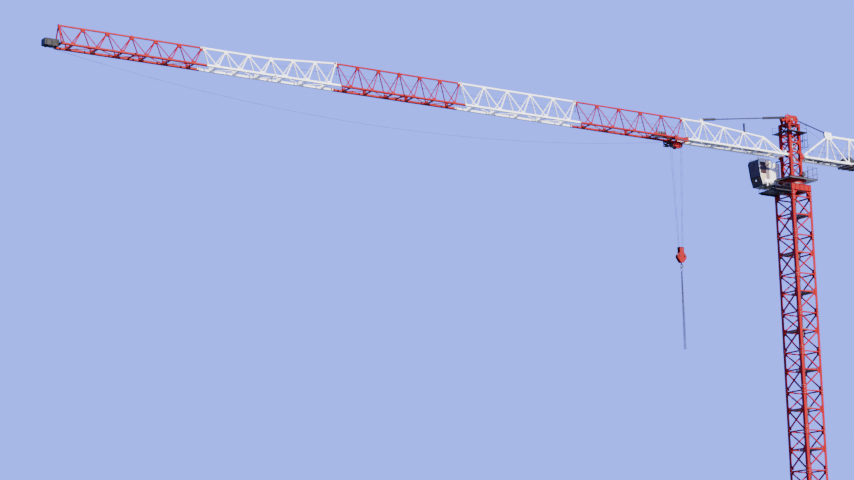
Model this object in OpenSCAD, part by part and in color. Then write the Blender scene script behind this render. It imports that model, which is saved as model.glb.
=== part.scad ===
// Tower crane with a lattice mast, a short tower head and a triangular jib.
// It is a scale model at 1:2 of a full-size crane: every size is the model's own, in millimetres.
// Origin: centre of the base's underside, on the mast axis. +X runs out along the jib, +Z is up.

/* [Base] */
// Distance of a foot plate's centre from the mast axis, along X and along Y
foot_at = 1270; // [1100:10:1500]
// Length of a base beam past the foot plate's centre
base_beam_over = 60; // [0:10:100]
// Width of a base beam
base_beam_w = 150; // [130:5:180]
// Height of the base cross
base_h = 150; // [130:5:200]
// Side of a square foot plate
foot_w = 420; // [380:10:480]
// Thickness of a foot plate and of a leg shoe
foot_t = 30; // [20:2:40]
// Anchor hole radius
anchor_r = 14; // [10:1:18]
// Distance of an anchor hole from its foot plate's centre, along X or Y
anchor_off = 110; // [80:5:150]
// Side of the shoe plate under a mast leg
shoe_w = 260; // [220:10:300]

/* [Mast] */
// Outer width of the square mast
mast_w = 1000; // [940:10:1060]
// Height of one mast section
section_h = 1500; // [1400:10:1600]
// Height of the middle node above a section's foot
section_mid = 770; // [700:10:820]
// Width of a leg angle
leg_w = 120; // [100:5:130]
// Thickness of a leg angle
leg_t = 16; // [12:1:20]
// Side of a square mast bracing bar
mast_bar = 50; // [40:1:56]
// Length of a fishplate over a leg joint
fish_h = 380; // [300:10:390]
// Thickness of a fishplate
fish_t = 14; // [8:1:18]
// Margin of a fishplate from the edges of the leg
fish_margin = 10; // [6:1:16]

/* [Ladder and rest platforms] */
// Clear distance between ladder stringers
ladder_w = 200; // [180:5:240]
// Side of a ladder stringer
stringer = 30; // [20:1:36]
// Side of a ladder rung
rung = 14; // [10:1:18]
// Distance from one rung to the next
rung_pitch = 150; // [140:5:170]
// Side of the bars that carry a rest platform
bearer = 40; // [30:1:46]
// Thickness of a platform plate
deck_t = 20; // [12:1:26]

/* [Slewing support] */
// Height of the corner posts under the ring beam
collar_post_h = 200; // [196:1:260]
// Height of the ring beam
collar_beam_h = 250; // [200:10:300]
// Width of the ring beam's box section
collar_beam_w = 190; // [160:5:210]
// Overhang of the ring beam past the mast
collar_over = 20; // [10:1:40]
// Corner radius of the ring beam
collar_r = 60; // [30:5:90]
// Length of the landing platform past the mast
landing_l = 830; // [700:10:900]
// Outer radius of the slewing ring
ring_r = 430; // [400:5:460]
// Inner radius of the slewing ring
ring_in = 310; // [280:5:340]
// Height of one race of the slewing ring
race_h = 75; // [60:5:90]
// Running gap between the two races
race_gap = 0.5; // [0.3:0.1:2]

/* [Turntable] */
// Outer width of the turntable's box frame
turn_w = 760; // [720:10:800]
// Height of the turntable's box frame
turn_h = 200; // [180:10:240]
// Width of the turntable's box section
turn_beam = 170; // [140:5:200]
// Reach of the service platform behind the axis
service_back = 830; // [760:10:900]
// Reach of the service platform in front of the axis
service_front = 600; // [500:10:640]
// Half width of the service platform on the other side
service_side = 560; // [520:10:640]
// Radius of a slewing drive's motor
drive_r = 60; // [50:1:70]
// Height of a slewing drive's motor above the platform
drive_h = 280; // [240:10:320]
// Height of a handrail above its platform
rail_h = 500; // [420:10:560]
// Side of a handrail post
post_w = 22; // [16:1:28]
// Side of a handrail
rail_w = 16; // [12:1:20]

/* [Tower head] */
// Outer width of the square tower head
head_w = 600; // [560:10:640]
// Side of a tower head leg
head_leg = 105; // [80:5:120]
// Side of a tower head bracing bar
head_bar = 45; // [34:1:60]
// Height of the jib's bottom chords above the turntable
jib_rise = 825; // [780:5:880]
// Height of the head block's foot above the jib's bottom chords
block_z = 1275; // [1200:10:1400]
// Height of the head block
block_h = 375; // [320:5:420]
// Length of the head block along the jib
block_l = 660; // [620:10:700]
// Height of the upper platform above the jib's bottom chords
upper_platform_z = 930; // [880:10:1000]
// Outer half width of the upper platform
upper_platform_r = 480; // [440:5:520]

/* [Cab] */
// Length of the cab at its roof
cab_l = 680; // [620:10:740]
// How far the cab's front leans in from roof to floor
cab_lean = 190; // [120:10:240]
// Width of the cab
cab_w = 620; // [560:10:680]
// Height of the cab
cab_h = 1000; // [940:10:1060]
// Depth of the window recesses and thickness of the glass
glass_t = 12; // [8:1:18]
// Length of the control cabinet behind the cab
cabinet_l = 410; // [360:10:440]
// Gap from the tower head's centre plane to the cab's near side
cab_y = 425; // [400:5:460]

/* [Jib] */
// Length of one jib section
jib_section_l = 5000; // [4900:20:5040]
// Distance of the jib's foot pins from the mast axis
jib_root = 400; // [390:5:430]
// Distance between the bottom chords, centre to centre
jib_w = 550; // [520:5:580]
// Height of the top chord above the bottom chords on the outer sections
jib_h_out = 650; // [600:10:700]
// Height of the top chord above the bottom chords on the inner sections
jib_h_in = 840; // [780:10:900]
// Distance from the mast axis to the knee of the root section's top chord
knee_x = 1365; // [1250:5:1450]
// Height of the top chord above the bottom chords at the knee
knee_h = 620; // [580:10:660]
// Side of a bottom chord
chord_b = 70; // [60:1:76]
// Side of the top chord
chord_t = 80; // [70:1:90]
// Side of a diagonal
jib_bar = 35; // [28:1:42]
// Side of a cross bar between the bottom chords
cross_bar = 45; // [36:1:50]
// Side of a diagonal in the bottom plane
plan_bar = 26; // [20:1:34]
// Width of the running flange outside a bottom chord
flange_w = 35; // [30:1:40]
// Thickness of the running flange
flange_t = 12; // [8:1:16]
// Thickness of an end plate at a section joint
end_t = 30; // [20:1:40]
// How far end plates stand out from their chord
end_over = 16; // [10:1:20]
// Height of the tie's lug above the top chord's centre
tie_lug_h = 90; // [80:5:120]

/* [Counter-jib] */
// Length of the counter-jib from its foot pins
counter_l = 7600; // [7200:50:7700]
// Distance between the counter-jib's bottom chords, centre to centre
counter_w = 600; // [560:10:640]
// Height of its top chord above its bottom chords
counter_h = 1075; // [1000:25:1150]
// Thickness of one ballast block
ballast_t = 170; // [140:5:190]
// Width of a ballast block
ballast_w = 1150; // [1000:50:1300]
// Height of a ballast block
ballast_h = 1500; // [1200:50:1700]

/* [Trolley and hook] */
// Place of the trolley's centre at rest
trolley_x = 5750; // [5700:10:5800]
// Length of the trolley
trolley_l = 950; // [900:10:1000]
// Wheel radius
wheel_r = 45; // [40:1:50]
// Wheel width
wheel_w = 24; // [18:1:26]
// Side clearance of a wheel beside its chord and of the side plate past the flange
wheel_gap = 6; // [5:0.5:7]
// Lift of a wheel above the running flange
wheel_lift = 0.3; // [0.2:0.1:1]
// Thickness of the trolley's side plates
side_t = 12; // [8:1:16]
// Outer radius of a rope sheave
sheave_r = 120; // [100:5:130]
// Rope radius
rope_r = 5; // [4:0.5:6]
// Depth of the hook block's top below the jib's bottom chords
block_drop = 4100; // [3900:50:4300]
// Height of the hook block
hook_block_h = 545; // [520:5:600]
// Length of the chain sling
sling_l = 2790; // [2600:10:2900]
// Radius of one leg of the chain sling
sling_r = 12; // [10:0.5:14]

/* [Hidden] */
RED = "#c8281e";
WHITE = "#e9e7e0";
DARK = "#2b2b2e";
STEEL = "#6e7074";
CONCRETE = "#a9a59c";
section_count = 12;
mast_top = base_h + section_count * section_h;
collar_top = mast_top + collar_post_h + collar_beam_h;
race_top = collar_top + race_h;
turn_z = race_top + race_gap + race_h;
turn_top = turn_z + turn_h;
// Height of the centre lines of the jib's bottom chords
jib_z = turn_top + jib_rise;
jib_tip = jib_root + 6 * jib_section_l;
head_top = jib_z + block_z;
// Pins of the jib feet and ties, and the fit of loose pieces
pin_r = 20;
fit_gap = 0.3;
// Height of the tie pins above the head block's foot
tie_pin_z = block_h - 95;
// Hoist rope: winch drum, sheave in the head block, guide sheave behind the jib's root, run under the jib
rope_y = -15;
fall_y = 50;
winch_at = -3050;
winch_axis_z = 212;
drum_r = 110;
head_sheave_r = 110;
head_sheave_z = block_h - 175;
run_z = jib_z - chord_b / 2 - 12;
guide_r = 80;
guide_x = head_sheave_r + guide_r + 2 * (rope_r + fit_gap);
guide_z = run_z + guide_r + rope_r + fit_gap;

// Square bar from point a to point b, cut square at both ends
module bar(a, b, w) {
    d = b - a;
    run = norm(d);
    translate(a)
        rotate([0, acos(d[2] / run), atan2(d[1], d[0])])
            translate([-w / 2, -w / 2, 0])
                cube([w, w, run]);
}

// Box from its lowest corner to its highest
module block(low, high) {
    translate(low) cube(high - low);
}

// Round rod or rope from point a to point b
module rod(a, b, r, sides = 24) {
    d = b - a;
    run = norm(d);
    translate(a)
        rotate([0, acos(d[2] / run), atan2(d[1], d[0])])
            cylinder(h = run, r = r, $fn = sides);
}

// Disc with its axis along Y
module disc_y(x, y, z, r, w, hole = 0) {
    translate([x, y + w / 2, z])
        rotate([90, 0, 0])
            difference() {
                cylinder(h = w, r = r, $fn = 64);
                if (hole > 0) translate([0, 0, -1]) cylinder(h = w + 2, r = hole, $fn = 48);
            }
}

// Rounded square outline
module round_square(w, r) {
    square([w, w - 2 * r], center = true);
    square([w - 2 * r, w], center = true);
    for (sx = [-1, 1], sy = [-1, 1])
        translate([sx * (w / 2 - r), sy * (w / 2 - r)]) circle(r = r, $fn = 48);
}

// Repeats its child at the four corners of the mast or head by quarter turns
module quarters() {
    for (k = [0:3]) rotate([0, 0, 90 * k]) children();
}

// Base

module base_frame() {
    leg_at = mast_w / 2 - leg_w / 2;
    beam_l = 2 * (foot_at * sqrt(2) + base_beam_over);
    color(RED)
        difference() {
            union() {
                for (a = [45, 135])
                    rotate([0, 0, a])
                        translate([-beam_l / 2, -base_beam_w / 2, 0])
                            cube([beam_l, base_beam_w, base_h - foot_t]);
                for (sx = [-1, 1], sy = [-1, 1]) {
                    translate([sx * foot_at - foot_w / 2, sy * foot_at - foot_w / 2, 0])
                        cube([foot_w, foot_w, foot_t]);
                    translate([sx * leg_at - shoe_w / 2, sy * leg_at - shoe_w / 2, base_h - foot_t])
                        cube([shoe_w, shoe_w, foot_t]);
                }
            }
            for (sx = [-1, 1], sy = [-1, 1]) {
                for (p = [[-anchor_off, anchor_off], [anchor_off, -anchor_off]])
                    translate([sx * (foot_at + p[0]), sy * (foot_at + p[1]), -1])
                        cylinder(h = foot_t + 2, r = anchor_r, $fn = 32);
            }
        }
}

// Mast

// Angle section of a leg, with its corner at the origin and its arms along -X and -Y
module leg_angle(h) {
    linear_extrude(h)
        polygon([[0, 0], [-leg_w, 0], [-leg_w, -leg_t], [-leg_t, -leg_t], [-leg_t, -leg_w], [0, -leg_w]]);
}

// Bars of one mast face lie against the inside of the leg angles
mast_bar_y = mast_w / 2 - leg_t - mast_bar / 2 + 3;
mast_bar_in = mast_bar_y - mast_bar / 2;
low_bar = mast_bar - 2;
top_bar = mast_bar - 4;
node_x = mast_w / 2 - leg_w / 2;
low_node = 45;
top_node = section_h - 75;
top_tie = section_h - 40;

module mast_section(k) {
    color(RED)
        translate([0, 0, base_h + k * section_h])
            quarters() {
                translate([mast_w / 2, mast_w / 2, 0]) leg_angle(section_h);
                bar([node_x, mast_bar_y, low_node], [-node_x, mast_bar_y, section_mid], low_bar);
                bar([-node_x, mast_bar_y, section_mid], [node_x, mast_bar_y, top_node], top_bar);
                bar([-node_x, mast_bar_y, section_mid], [node_x, mast_bar_y, section_mid], mast_bar);
                bar([-node_x, mast_bar_y, top_tie], [node_x, mast_bar_y, top_tie], mast_bar);
                for (s = [0, 1])
                    mirror([s, -s, 0])
                        translate([mast_w / 2 - leg_w + fish_margin, mast_w / 2, section_h - fish_h / 2])
                            cube([leg_w - 2 * fish_margin, fish_t, fish_h]);
            }
}

// Ladder up the middle of the mast, with a rest platform at the middle of each section
module mast_access() {
    ladder_low = base_h + 100;
    ladder_top = mast_top + collar_post_h;
    stringer_y = ladder_w / 2 + stringer / 2;
    color(STEEL) {
        for (s = [-1, 1])
            translate([-stringer / 2, s * stringer_y - stringer / 2, ladder_low])
                cube([stringer, stringer, ladder_top - ladder_low]);
        for (z = [ladder_low + rung_pitch : rung_pitch : ladder_top - rung_pitch / 2])
            translate([-rung / 2, -ladder_w / 2 - 2, z])
                cube([rung, ladder_w + 4, rung]);
        for (k = [0 : section_count - 1]) {
            z = base_h + k * section_h + section_mid;
            side = k % 2;
            mirror([side, 0, 0]) {
                for (x = [stringer / 2, node_x - leg_w])
                    block([x, -mast_bar_in, z - bearer / 2], [x + bearer, mast_bar_in, z + bearer / 2]);
                block([stringer / 2, -mast_bar_in + 10, z + bearer / 2],
                      [node_x - leg_w + bearer, mast_bar_in - 10, z + bearer / 2 + deck_t]);
            }
        }
    }
}

// Slewing support on the mast's top, with a landing platform under the cab
module mast_collar() {
    post_w_c = leg_w + 30;
    beam_w = mast_w + 2 * collar_over;
    color(RED) {
        quarters()
            translate([mast_w / 2 - post_w_c, mast_w / 2 - post_w_c, mast_top])
                cube([post_w_c, post_w_c, collar_post_h]);
        translate([0, 0, mast_top + collar_post_h])
            linear_extrude(collar_beam_h)
                difference() {
                    round_square(beam_w, collar_r);
                    square(beam_w - 2 * collar_beam_w, center = true);
                }
        translate([0, 0, collar_top - 40])
            linear_extrude(40)
                difference() {
                    square(beam_w - 2 * collar_beam_w + 20, center = true);
                    circle(r = ring_in, $fn = 96);
                }
    }
    color(DARK) {
        x0 = mast_w / 2;
        z0 = mast_top + 110;
        arm_w = 28;
        arm_y = mast_w / 2 - leg_w + fish_margin - 4 - arm_w / 2;
        block([x0 + fish_t + 2, -mast_w / 2, z0], [x0 + landing_l, mast_w / 2, z0 + deck_t]);
        for (s = [-1, 1])
            block([x0, s * arm_y - arm_w / 2, z0 - 60], [x0 + landing_l, s * arm_y + arm_w / 2, z0]);
    }
}

module slewing_ring() {
    color(STEEL)
        translate([0, 0, collar_top])
            difference() {
                cylinder(h = race_h, r = ring_r, $fn = 128);
                translate([0, 0, -1]) cylinder(h = race_h + 2, r = ring_in, $fn = 96);
            }
}

// Turntable: the upper race and the box frame that carries the tower head
module turntable() {
    color(RED) {
        translate([0, 0, race_top + race_gap])
            difference() {
                cylinder(h = race_h, r = ring_r, $fn = 128);
                translate([0, 0, -1]) cylinder(h = race_h + 2, r = ring_in, $fn = 96);
            }
        translate([0, 0, turn_z])
            linear_extrude(turn_h)
                difference() {
                    square(turn_w, center = true);
                    square(turn_w - 2 * turn_beam, center = true);
                }
    }
}

// Handrail along a path of points on a platform: posts at the points, a knee rail and a top rail
module handrail(points, z) {
    for (p = points)
        translate([p[0] - post_w / 2, p[1] - post_w / 2, z]) cube([post_w, post_w, rail_h]);
    for (i = [0 : len(points) - 2], f = [0.5, 1]) {
        lift = z + f * rail_h - rail_w / 2;
        bar([points[i][0], points[i][1], lift], [points[i + 1][0], points[i + 1][1], lift], rail_w);
    }
}

// Platform round the turntable, at half its height, with two slewing drives and handrails
module service_platform() {
    z = turn_z + 60;
    edge = post_w / 2 + 4;
    back = -service_back + edge;
    color(DARK) {
        difference() {
            block([-service_back, -turn_w / 2, z], [service_front, service_side, z + deck_t]);
            block([-turn_w / 2, -turn_w / 2 - 1, z - 1], [turn_w / 2, turn_w / 2, z + deck_t + 1]);
        }
        handrail([[-turn_w / 2 + 40, service_side - edge], [(-turn_w / 2 + back) / 2, service_side - edge],
                  [back, service_side - edge], [back, 0], [back, -turn_w / 2 + edge],
                  [-turn_w / 2 - 60, -turn_w / 2 + edge]], z + deck_t);
    }
    color(STEEL)
        for (p = [[-200, turn_w / 2 + drive_r + 15], [-turn_w / 2 - drive_r - 15, -150]])
            translate([p[0], p[1], z + deck_t]) cylinder(h = drive_h, r = drive_r, $fn = 48);
}

// Tower head

// Heights of the head's rings of horizontal bars
head_levels = [turn_top + head_bar / 2, jib_z - 300, jib_z + 160, jib_z + 540, upper_platform_z + jib_z - 60,
               head_top - head_bar / 2];
// The bay where the hoist rope runs out to the jib has no diagonal across the rope
open_bay = 1;

module foot_lugs(root, w) {
    for (s = [-1, 1]) {
        block([head_w / 2 - head_leg, s * w / 2 - 15, jib_z - 90], [root, s * w / 2 + 15, jib_z + 90]);
        disc_y(root, s * w / 2, jib_z, 46, 30);
        rod([root, s * w / 2 - 40, jib_z], [root, s * w / 2 + 40, jib_z], pin_r, 48);
    }
}

// Lattice column, jib foot lugs, and the block that holds the ties and the rope sheave
module tower_head() {
    at = head_w / 2 - head_leg / 2;
    color(RED) {
        for (k = [0:3])
            rotate([0, 0, 90 * k]) {
                translate([head_w / 2 - head_leg, head_w / 2 - head_leg, turn_top])
                    cube([head_leg, head_leg, head_top - turn_top]);
                for (z = head_levels) bar([-at, at, z], [at, at, z], head_bar);
                for (i = [0 : len(head_levels) - 2])
                    if (i != open_bay || k % 2 == 0)
                        bar([i % 2 == 0 ? at : -at, at, head_levels[i]],
                            [i % 2 == 0 ? -at : at, at, head_levels[i + 1]], head_bar * 0.8);
            }
        rod([guide_x, -at, guide_z], [guide_x, at, guide_z], 14, 32);
        disc_y(guide_x, rope_y, guide_z, guide_r, 30);
        foot_lugs(jib_root, jib_w);
        mirror([1, 0, 0]) foot_lugs(jib_root, counter_w);
        head_block();
    }
}

module head_block() {
    plate_y = 150;
    half = block_l / 2;
    translate([0, 0, head_top]) {
        difference() {
            translate([-head_w / 2, -head_w / 2, 0]) cube([head_w, head_w, 30]);
            block([head_sheave_r - 40, rope_y - 40, -1], [head_sheave_r + 50, rope_y + 40, 31]);
        }
        for (s = [-1, 1])
            translate([0, s * plate_y + 12, 0])
                rotate([90, 0, 0])
                    linear_extrude(24)
                        difference() {
                            polygon([[-head_w / 2 + 20, 20], [head_w / 2 - 20, 20], [half, block_h * 0.55],
                                     [half, block_h - 60], [half - 60, block_h], [-half + 60, block_h],
                                     [-half, block_h - 60], [-half, block_h * 0.55]]);
                            for (x = [-1, 1])
                                polygon([[x * 60, 60], [x * 190, 60], [x * 125, 200]]);
                        }
        for (x = [-half + 50, half - 50])
            rod([x, -plate_y - 30, tie_pin_z], [x, plate_y + 30, tie_pin_z], pin_r, 48);
        rod([0, -plate_y - 20, head_sheave_z], [0, plate_y + 20, head_sheave_z], 24, 48);
        disc_y(0, rope_y, head_sheave_z, head_sheave_r, 30);
        translate([180, plate_y, block_h - 2]) cylinder(h = 50, r = 12, $fn = 24);
    }
}

// Platform ring round the tower head with a hanging basket frame behind it, and the head's ladder
module head_platform() {
    z = jib_z + upper_platform_z;
    r = upper_platform_r;
    basket_low = jib_z + 400;
    color(DARK) {
        difference() {
            block([-r, -r, z], [r, r, z + 24]);
            block([-head_w / 2, -head_w / 2, z - 1], [head_w / 2, head_w / 2, z + 25]);
        }
        for (y = [-210, 210], x = [-r + 12, -head_w / 2 - 12])
            block([x - 9, y - 9, basket_low], [x + 9, y + 9, z]);
        for (lift = [basket_low + 9, (basket_low + z) / 2], y = [-210, 210])
            bar([-r + 12, y, lift], [-head_w / 2 - 12, y, lift], rail_w);
        for (lift = [basket_low + 9, (basket_low + z) / 2])
            bar([-r + 12, -210, lift], [-r + 12, 210, lift], rail_w);
    }
}

// Cab and control cabinet

cab_back = 620;
cab_front = cab_back + cab_l;
cab_floor = jib_z - 1090;
cab_roof = cab_floor + cab_h;
cab_mid_y = -cab_y - cab_w / 2;

// Side outline of the cab: x along the jib, y up
module cab_outline(inset = 0) {
    polygon([[cab_back + inset, inset], [cab_front - cab_lean - inset, inset],
             [cab_front - cab_lean * 0.45 - inset, cab_h * 0.3], [cab_front - inset, cab_h * 0.86],
             [cab_front - 70 - inset, cab_h - inset], [cab_back + 60, cab_h - inset],
             [cab_back + inset, cab_h - 40 - inset]]);
}

// Place an outline in the XZ plane, centred on the cab's width
module cab_slab(w) {
    translate([0, cab_mid_y + w / 2, cab_floor])
        rotate([90, 0, 0])
            linear_extrude(w) children();
}

// Outline of the side windows
module side_window(inset = 0) {
    polygon([[cab_back + 330 + inset, cab_h * 0.42 + inset], [cab_front - cab_lean * 0.45 - 10 - inset, cab_h * 0.42 + inset],
             [cab_front - 70 - inset, cab_h * 0.86 - inset], [cab_back + 330 + inset, cab_h * 0.86 - inset]]);
}

// Outline of the glass front, which wraps the slanted face from sill to roof
module front_window(inset, out) {
    polygon([[cab_front - cab_lean - inset, 60], [cab_front - cab_lean + out, 60],
             [cab_front - cab_lean * 0.45 + out, cab_h * 0.3], [cab_front + out, cab_h * 0.86],
             [cab_front - inset, cab_h * 0.86], [cab_front - cab_lean * 0.45 - inset, cab_h * 0.3]]);
}

module cab_body() {
    color(WHITE)
        difference() {
            cab_slab(cab_w) cab_outline();
            for (s = [-1, 1])
                translate([0, s * (cab_w / 2 - glass_t / 2 + 1), 0])
                    cab_slab(glass_t + 2) side_window();
            cab_slab(cab_w - 90) front_window(glass_t + 2, 40);
        }
    color(DARK) {
        arm_z = turn_z + 10;
        block([-turn_w / 2 + 80, -cab_y, arm_z], [cab_front - cab_lean - 30, -turn_w / 2, arm_z + 120]);
        for (y = [cab_mid_y - 200, cab_mid_y + 200])
            block([cab_back - cabinet_l, y - 35, cab_floor - 60], [cab_front - cab_lean - 30, y + 35, cab_floor]);
        for (x = [cab_back - cabinet_l + 20, cab_back + 280]) {
            block([x, cab_mid_y - 200, cab_floor - 60], [x + 60, -cab_y, cab_floor]);
            block([x, -cab_y, cab_floor - 60], [x + 60, -cab_y + 40, arm_z]);
        }
    }
}

module cab_windows() {
    color(DARK) {
        for (s = [-1, 1])
            translate([0, s * (cab_w / 2 - glass_t / 2), 0])
                cab_slab(glass_t) side_window(fit_gap);
        intersection() {
            cab_slab(cab_w - 90 - 2 * fit_gap) front_window(glass_t + 2, 0);
            cab_slab(cab_w) cab_outline();
        }
    }
}

// Control cabinet with ribbed doors behind the cab
module control_cabinet() {
    x0 = cab_back - cabinet_l;
    color(WHITE) {
        block([x0, cab_mid_y - cab_w / 2 + 30, cab_floor], [cab_back, cab_mid_y + cab_w / 2 - 20, cab_roof - 130]);
        for (i = [0:4])
            block([x0 + 20 + i * 75, cab_mid_y + cab_w / 2 - 20, cab_floor + 60],
                  [x0 + 55 + i * 75, cab_mid_y + cab_w / 2, cab_roof - 200]);
    }
}

// Jib

trans_x = jib_tip - 1.5 * jib_section_l;
inner_x = jib_tip - 2 * jib_section_l;
tie_x = jib_root + 4085;
root_h = 110;

// Height of the top chord's centre line above the bottom chords at station x
function top_h(x) =
    x >= trans_x ? jib_h_out :
    x >= inner_x ? jib_h_in + (jib_h_out - jib_h_in) * (x - inner_x) / (trans_x - inner_x) :
    x >= tie_x ? jib_h_in :
    x >= knee_x ? jib_h_in - (jib_h_in - knee_h) * (tie_x - x) / (tie_x - knee_x) :
    root_h + (knee_h - root_h) * (x - jib_root) / (knee_x - jib_root);

function top_pt(x) = [x, 0, jib_z + top_h(x)];
function low_pt(x, s) = [x, s * jib_w / 2, jib_z];

// Chords, running flanges and end plates of a section from x0 in to x1 out
module jib_chords(x0, x1, stops) {
    xs = concat([x0], [for (x = stops) if (x > x0 && x < x1) x], [x1]);
    for (i = [0 : len(xs) - 2])
        bar(top_pt(xs[i] + (i == 0 ? 6 : 0)), top_pt(xs[i + 1] - (i == len(xs) - 2 ? 6 : 0)), chord_t);
    for (i = [1 : 1 : len(xs) - 2])
        translate(top_pt(xs[i]))
            rotate([90, 0, 0])
                cylinder(h = chord_t + 6, r = chord_t / 2 + 4, center = true, $fn = 32);
    for (s = [-1, 1]) {
        bar(low_pt(x0, s), low_pt(x1, s), chord_b);
        translate([x0, s > 0 ? jib_w / 2 : -jib_w / 2 - chord_b / 2 - flange_w, jib_z - chord_b / 2])
            cube([x1 - x0, chord_b / 2 + flange_w, flange_t]);
    }
}

// Plates at a section joint: on the top chord all round, on the bottom chords inside and below
module jib_end(x, inward, t = end_t) {
    x0 = inward ? x - t : x;
    o = end_over;
    top = jib_z + top_h(x);
    block([x0, -chord_t / 2 - o, top - chord_t / 2 - o], [x0 + t, chord_t / 2 + o, top + chord_t / 2 + o]);
    for (s = [-1, 1])
        mirror([0, s < 0 ? 1 : 0, 0])
            block([x0, jib_w / 2 - chord_b / 2 - o, jib_z - chord_b / 2],
                  [x0 + t, jib_w / 2 + chord_b / 2, jib_z + chord_b / 2 + o]);
}

// Zigzag sides and cross bars: tops at the ends of each bay, feet at its middle
module jib_web(x0, x1, bays) {
    pitch = (x1 - x0) / bays;
    inset = 26;
    for (i = [0 : bays - 1], s = [-1, 1]) {
        a = x0 + i * pitch + (i == 0 ? inset : 0);
        b = x0 + (i + 1) * pitch - (i == bays - 1 ? inset : 0);
        m = x0 + (i + 0.5) * pitch;
        bar(top_pt(a), low_pt(m, s), jib_bar);
        bar(top_pt(b), low_pt(m, s), jib_bar);
    }
    for (i = [0 : bays - 1])
        bar(low_pt(x0 + (i + 0.5) * pitch, -1), low_pt(x0 + (i + 0.5) * pitch, 1), cross_bar);
    for (i = [0 : bays - 2]) {
        s = i % 2 == 0 ? 1 : -1;
        bar(low_pt(x0 + (i + 0.5) * pitch, s), low_pt(x0 + (i + 1.5) * pitch, -s), plan_bar);
    }
}

// One jib section, number k counted from the tip
module jib_section(k, bays, splice) {
    x1 = jib_tip - (k - 1) * jib_section_l;
    x0 = x1 - jib_section_l;
    mid = (x0 + x1) / 2;
    jib_chords(x0, x1, [trans_x, knee_x, tie_x]);
    jib_web(x0, x1, bays);
    jib_end(x1, true);
    if (k < 6) jib_end(x0, false);
    if (splice) {
        jib_end(mid + end_t, true, 2 * end_t);
        bar(low_pt(mid, -1), low_pt(mid, 1), cross_bar);
    }
}

module jib_section_1() {
    color(RED) {
        jib_section(1, 6, true);
        bar(top_pt(jib_tip - 22), low_pt(jib_tip - 22, 1), 44);
        bar(top_pt(jib_tip - 22), low_pt(jib_tip - 22, -1), 44);
        bar(low_pt(jib_tip - 23, -1), low_pt(jib_tip - 23, 1), cross_bar);
    }
}
module jib_section_2() { color(WHITE) jib_section(2, 6, true); }
module jib_section_3() { color(RED) jib_section(3, 6, true); }
module jib_section_4() { color(WHITE) jib_section(4, 5, false); }
module jib_section_5() { color(RED) jib_section(5, 5, false); }

// Fork cheeks that hold a foot lug of the tower head between them
module foot_fork(root, w) {
    for (s = [-1, 1], c = [-1, 1])
        difference() {
            union() {
                block([root, s * w / 2 + c * 27 - 9, jib_z - 34], [root + 130, s * w / 2 + c * 27 + 9, jib_z + 34]);
                disc_y(root, s * w / 2 + c * 27, jib_z, 34, 18);
            }
            disc_y(root, s * w / 2 + c * 27, jib_z, pin_r + fit_gap, 40);
        }
}

// The root section tapers to the foot forks and carries the tie's lug
module jib_section_6() {
    color(WHITE) {
        difference() {
            union() {
                jib_section(6, 5, false);
                block([jib_root + 80, -jib_w / 2, jib_z - 30], [jib_root + 140, jib_w / 2, jib_z + root_h + 60]);
            }
            block([jib_root - 200, -jib_w, jib_z - 200], [jib_root + 80, jib_w, jib_z + 400]);
            block([jib_root, -jib_w, jib_z - chord_b / 2 - 1], [jib_root + 700, -jib_w / 2 - chord_b / 2, jib_z]);
            block([jib_root, jib_w / 2 + chord_b / 2, jib_z - chord_b / 2 - 1], [jib_root + 700, jib_w, jib_z]);
        }
        foot_fork(jib_root, jib_w);
        for (s = [-1, 1])
            difference() {
                block([tie_x - 90, s * 30.5 - 8.5, jib_z + jib_h_in],
                      [tie_x + 70, s * 30.5 + 8.5, jib_z + jib_h_in + tie_lug_h + 30]);
                disc_y(tie_x, s * 30.5, jib_z + jib_h_in + tie_lug_h, pin_r + fit_gap, 40);
            }
    }
}

// Nose at the tip: two side plates, the tail sheave of the trolley rope and the hoist rope's anchor
module jib_nose() {
    x0 = jib_tip;
    color(DARK) {
        for (s = [-1, 1])
            block([x0, s * 130 - 10, jib_z - 60], [x0 + 480, s * 130 + 10, jib_z + 150]);
        block([x0, -jib_w / 2, jib_z - 15], [x0 + 20, jib_w / 2, jib_z + chord_b / 2]);
        block([x0 + 440, -130, jib_z - 60], [x0 + 480, 130, jib_z + 150]);
        block([x0 + 100, -130, jib_z + 10], [x0 + 440, 130, jib_z + 30]);
        translate([x0 + tail_off, 0, jib_z - 45]) cylinder(h = 60, r = 18, $fn = 32);
        translate([x0 + tail_off, 0, rope_z - 12]) cylinder(h = 24, r = loop_r - rope_r - fit_gap, $fn = 64);
        block([x0 + 380, -20, jib_z - 120], [x0 + 440, 20, jib_z + 30]);
    }
}

// Tie bars from the head block to the root section's lug, thick at both ends
module jib_tie() {
    a = [block_l / 2 - 50, 0, head_top + tie_pin_z];
    b = [tie_x, 0, jib_z + jib_h_in + tie_lug_h];
    u = (b - a) / norm(b - a);
    color(DARK)
        difference() {
            union() {
                bar(a - u * 10, a + u * 1000, 40);
                bar(a + u * 980, b - u * 660, 30);
                bar(b - u * 680, b + u * 10, 36);
                disc_y(a[0], 0, a[2], 48, 44);
                disc_y(b[0], 0, b[2], 44, 40);
            }
            disc_y(a[0], 0, a[2], pin_r + fit_gap, 60);
            disc_y(b[0], 0, b[2], pin_r + fit_gap, 60);
        }
    color(STEEL) rod([b[0], -48, b[2]], [b[0], 48, b[2]], pin_r, 48);
}

// Walkway of two gratings on the cross bars, from the root to the trolley winch
winch_x = 6250;
winch_l = 560;
walk_low = cross_bar / 2;
walk_in = 520;
module jib_walkway() {
    color(STEEL) {
        block([jib_root + walk_in, -140, jib_z + walk_low], [winch_x + winch_l + 100, 140, jib_z + walk_low + deck_t]);
        for (s = [-1, 1])
            block([jib_root + walk_in, s * 134 - 6, jib_z + walk_low + deck_t],
                  [winch_x + winch_l + 100, s * 134 + 6, jib_z + walk_low + deck_t + 24]);
    }
}

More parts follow.
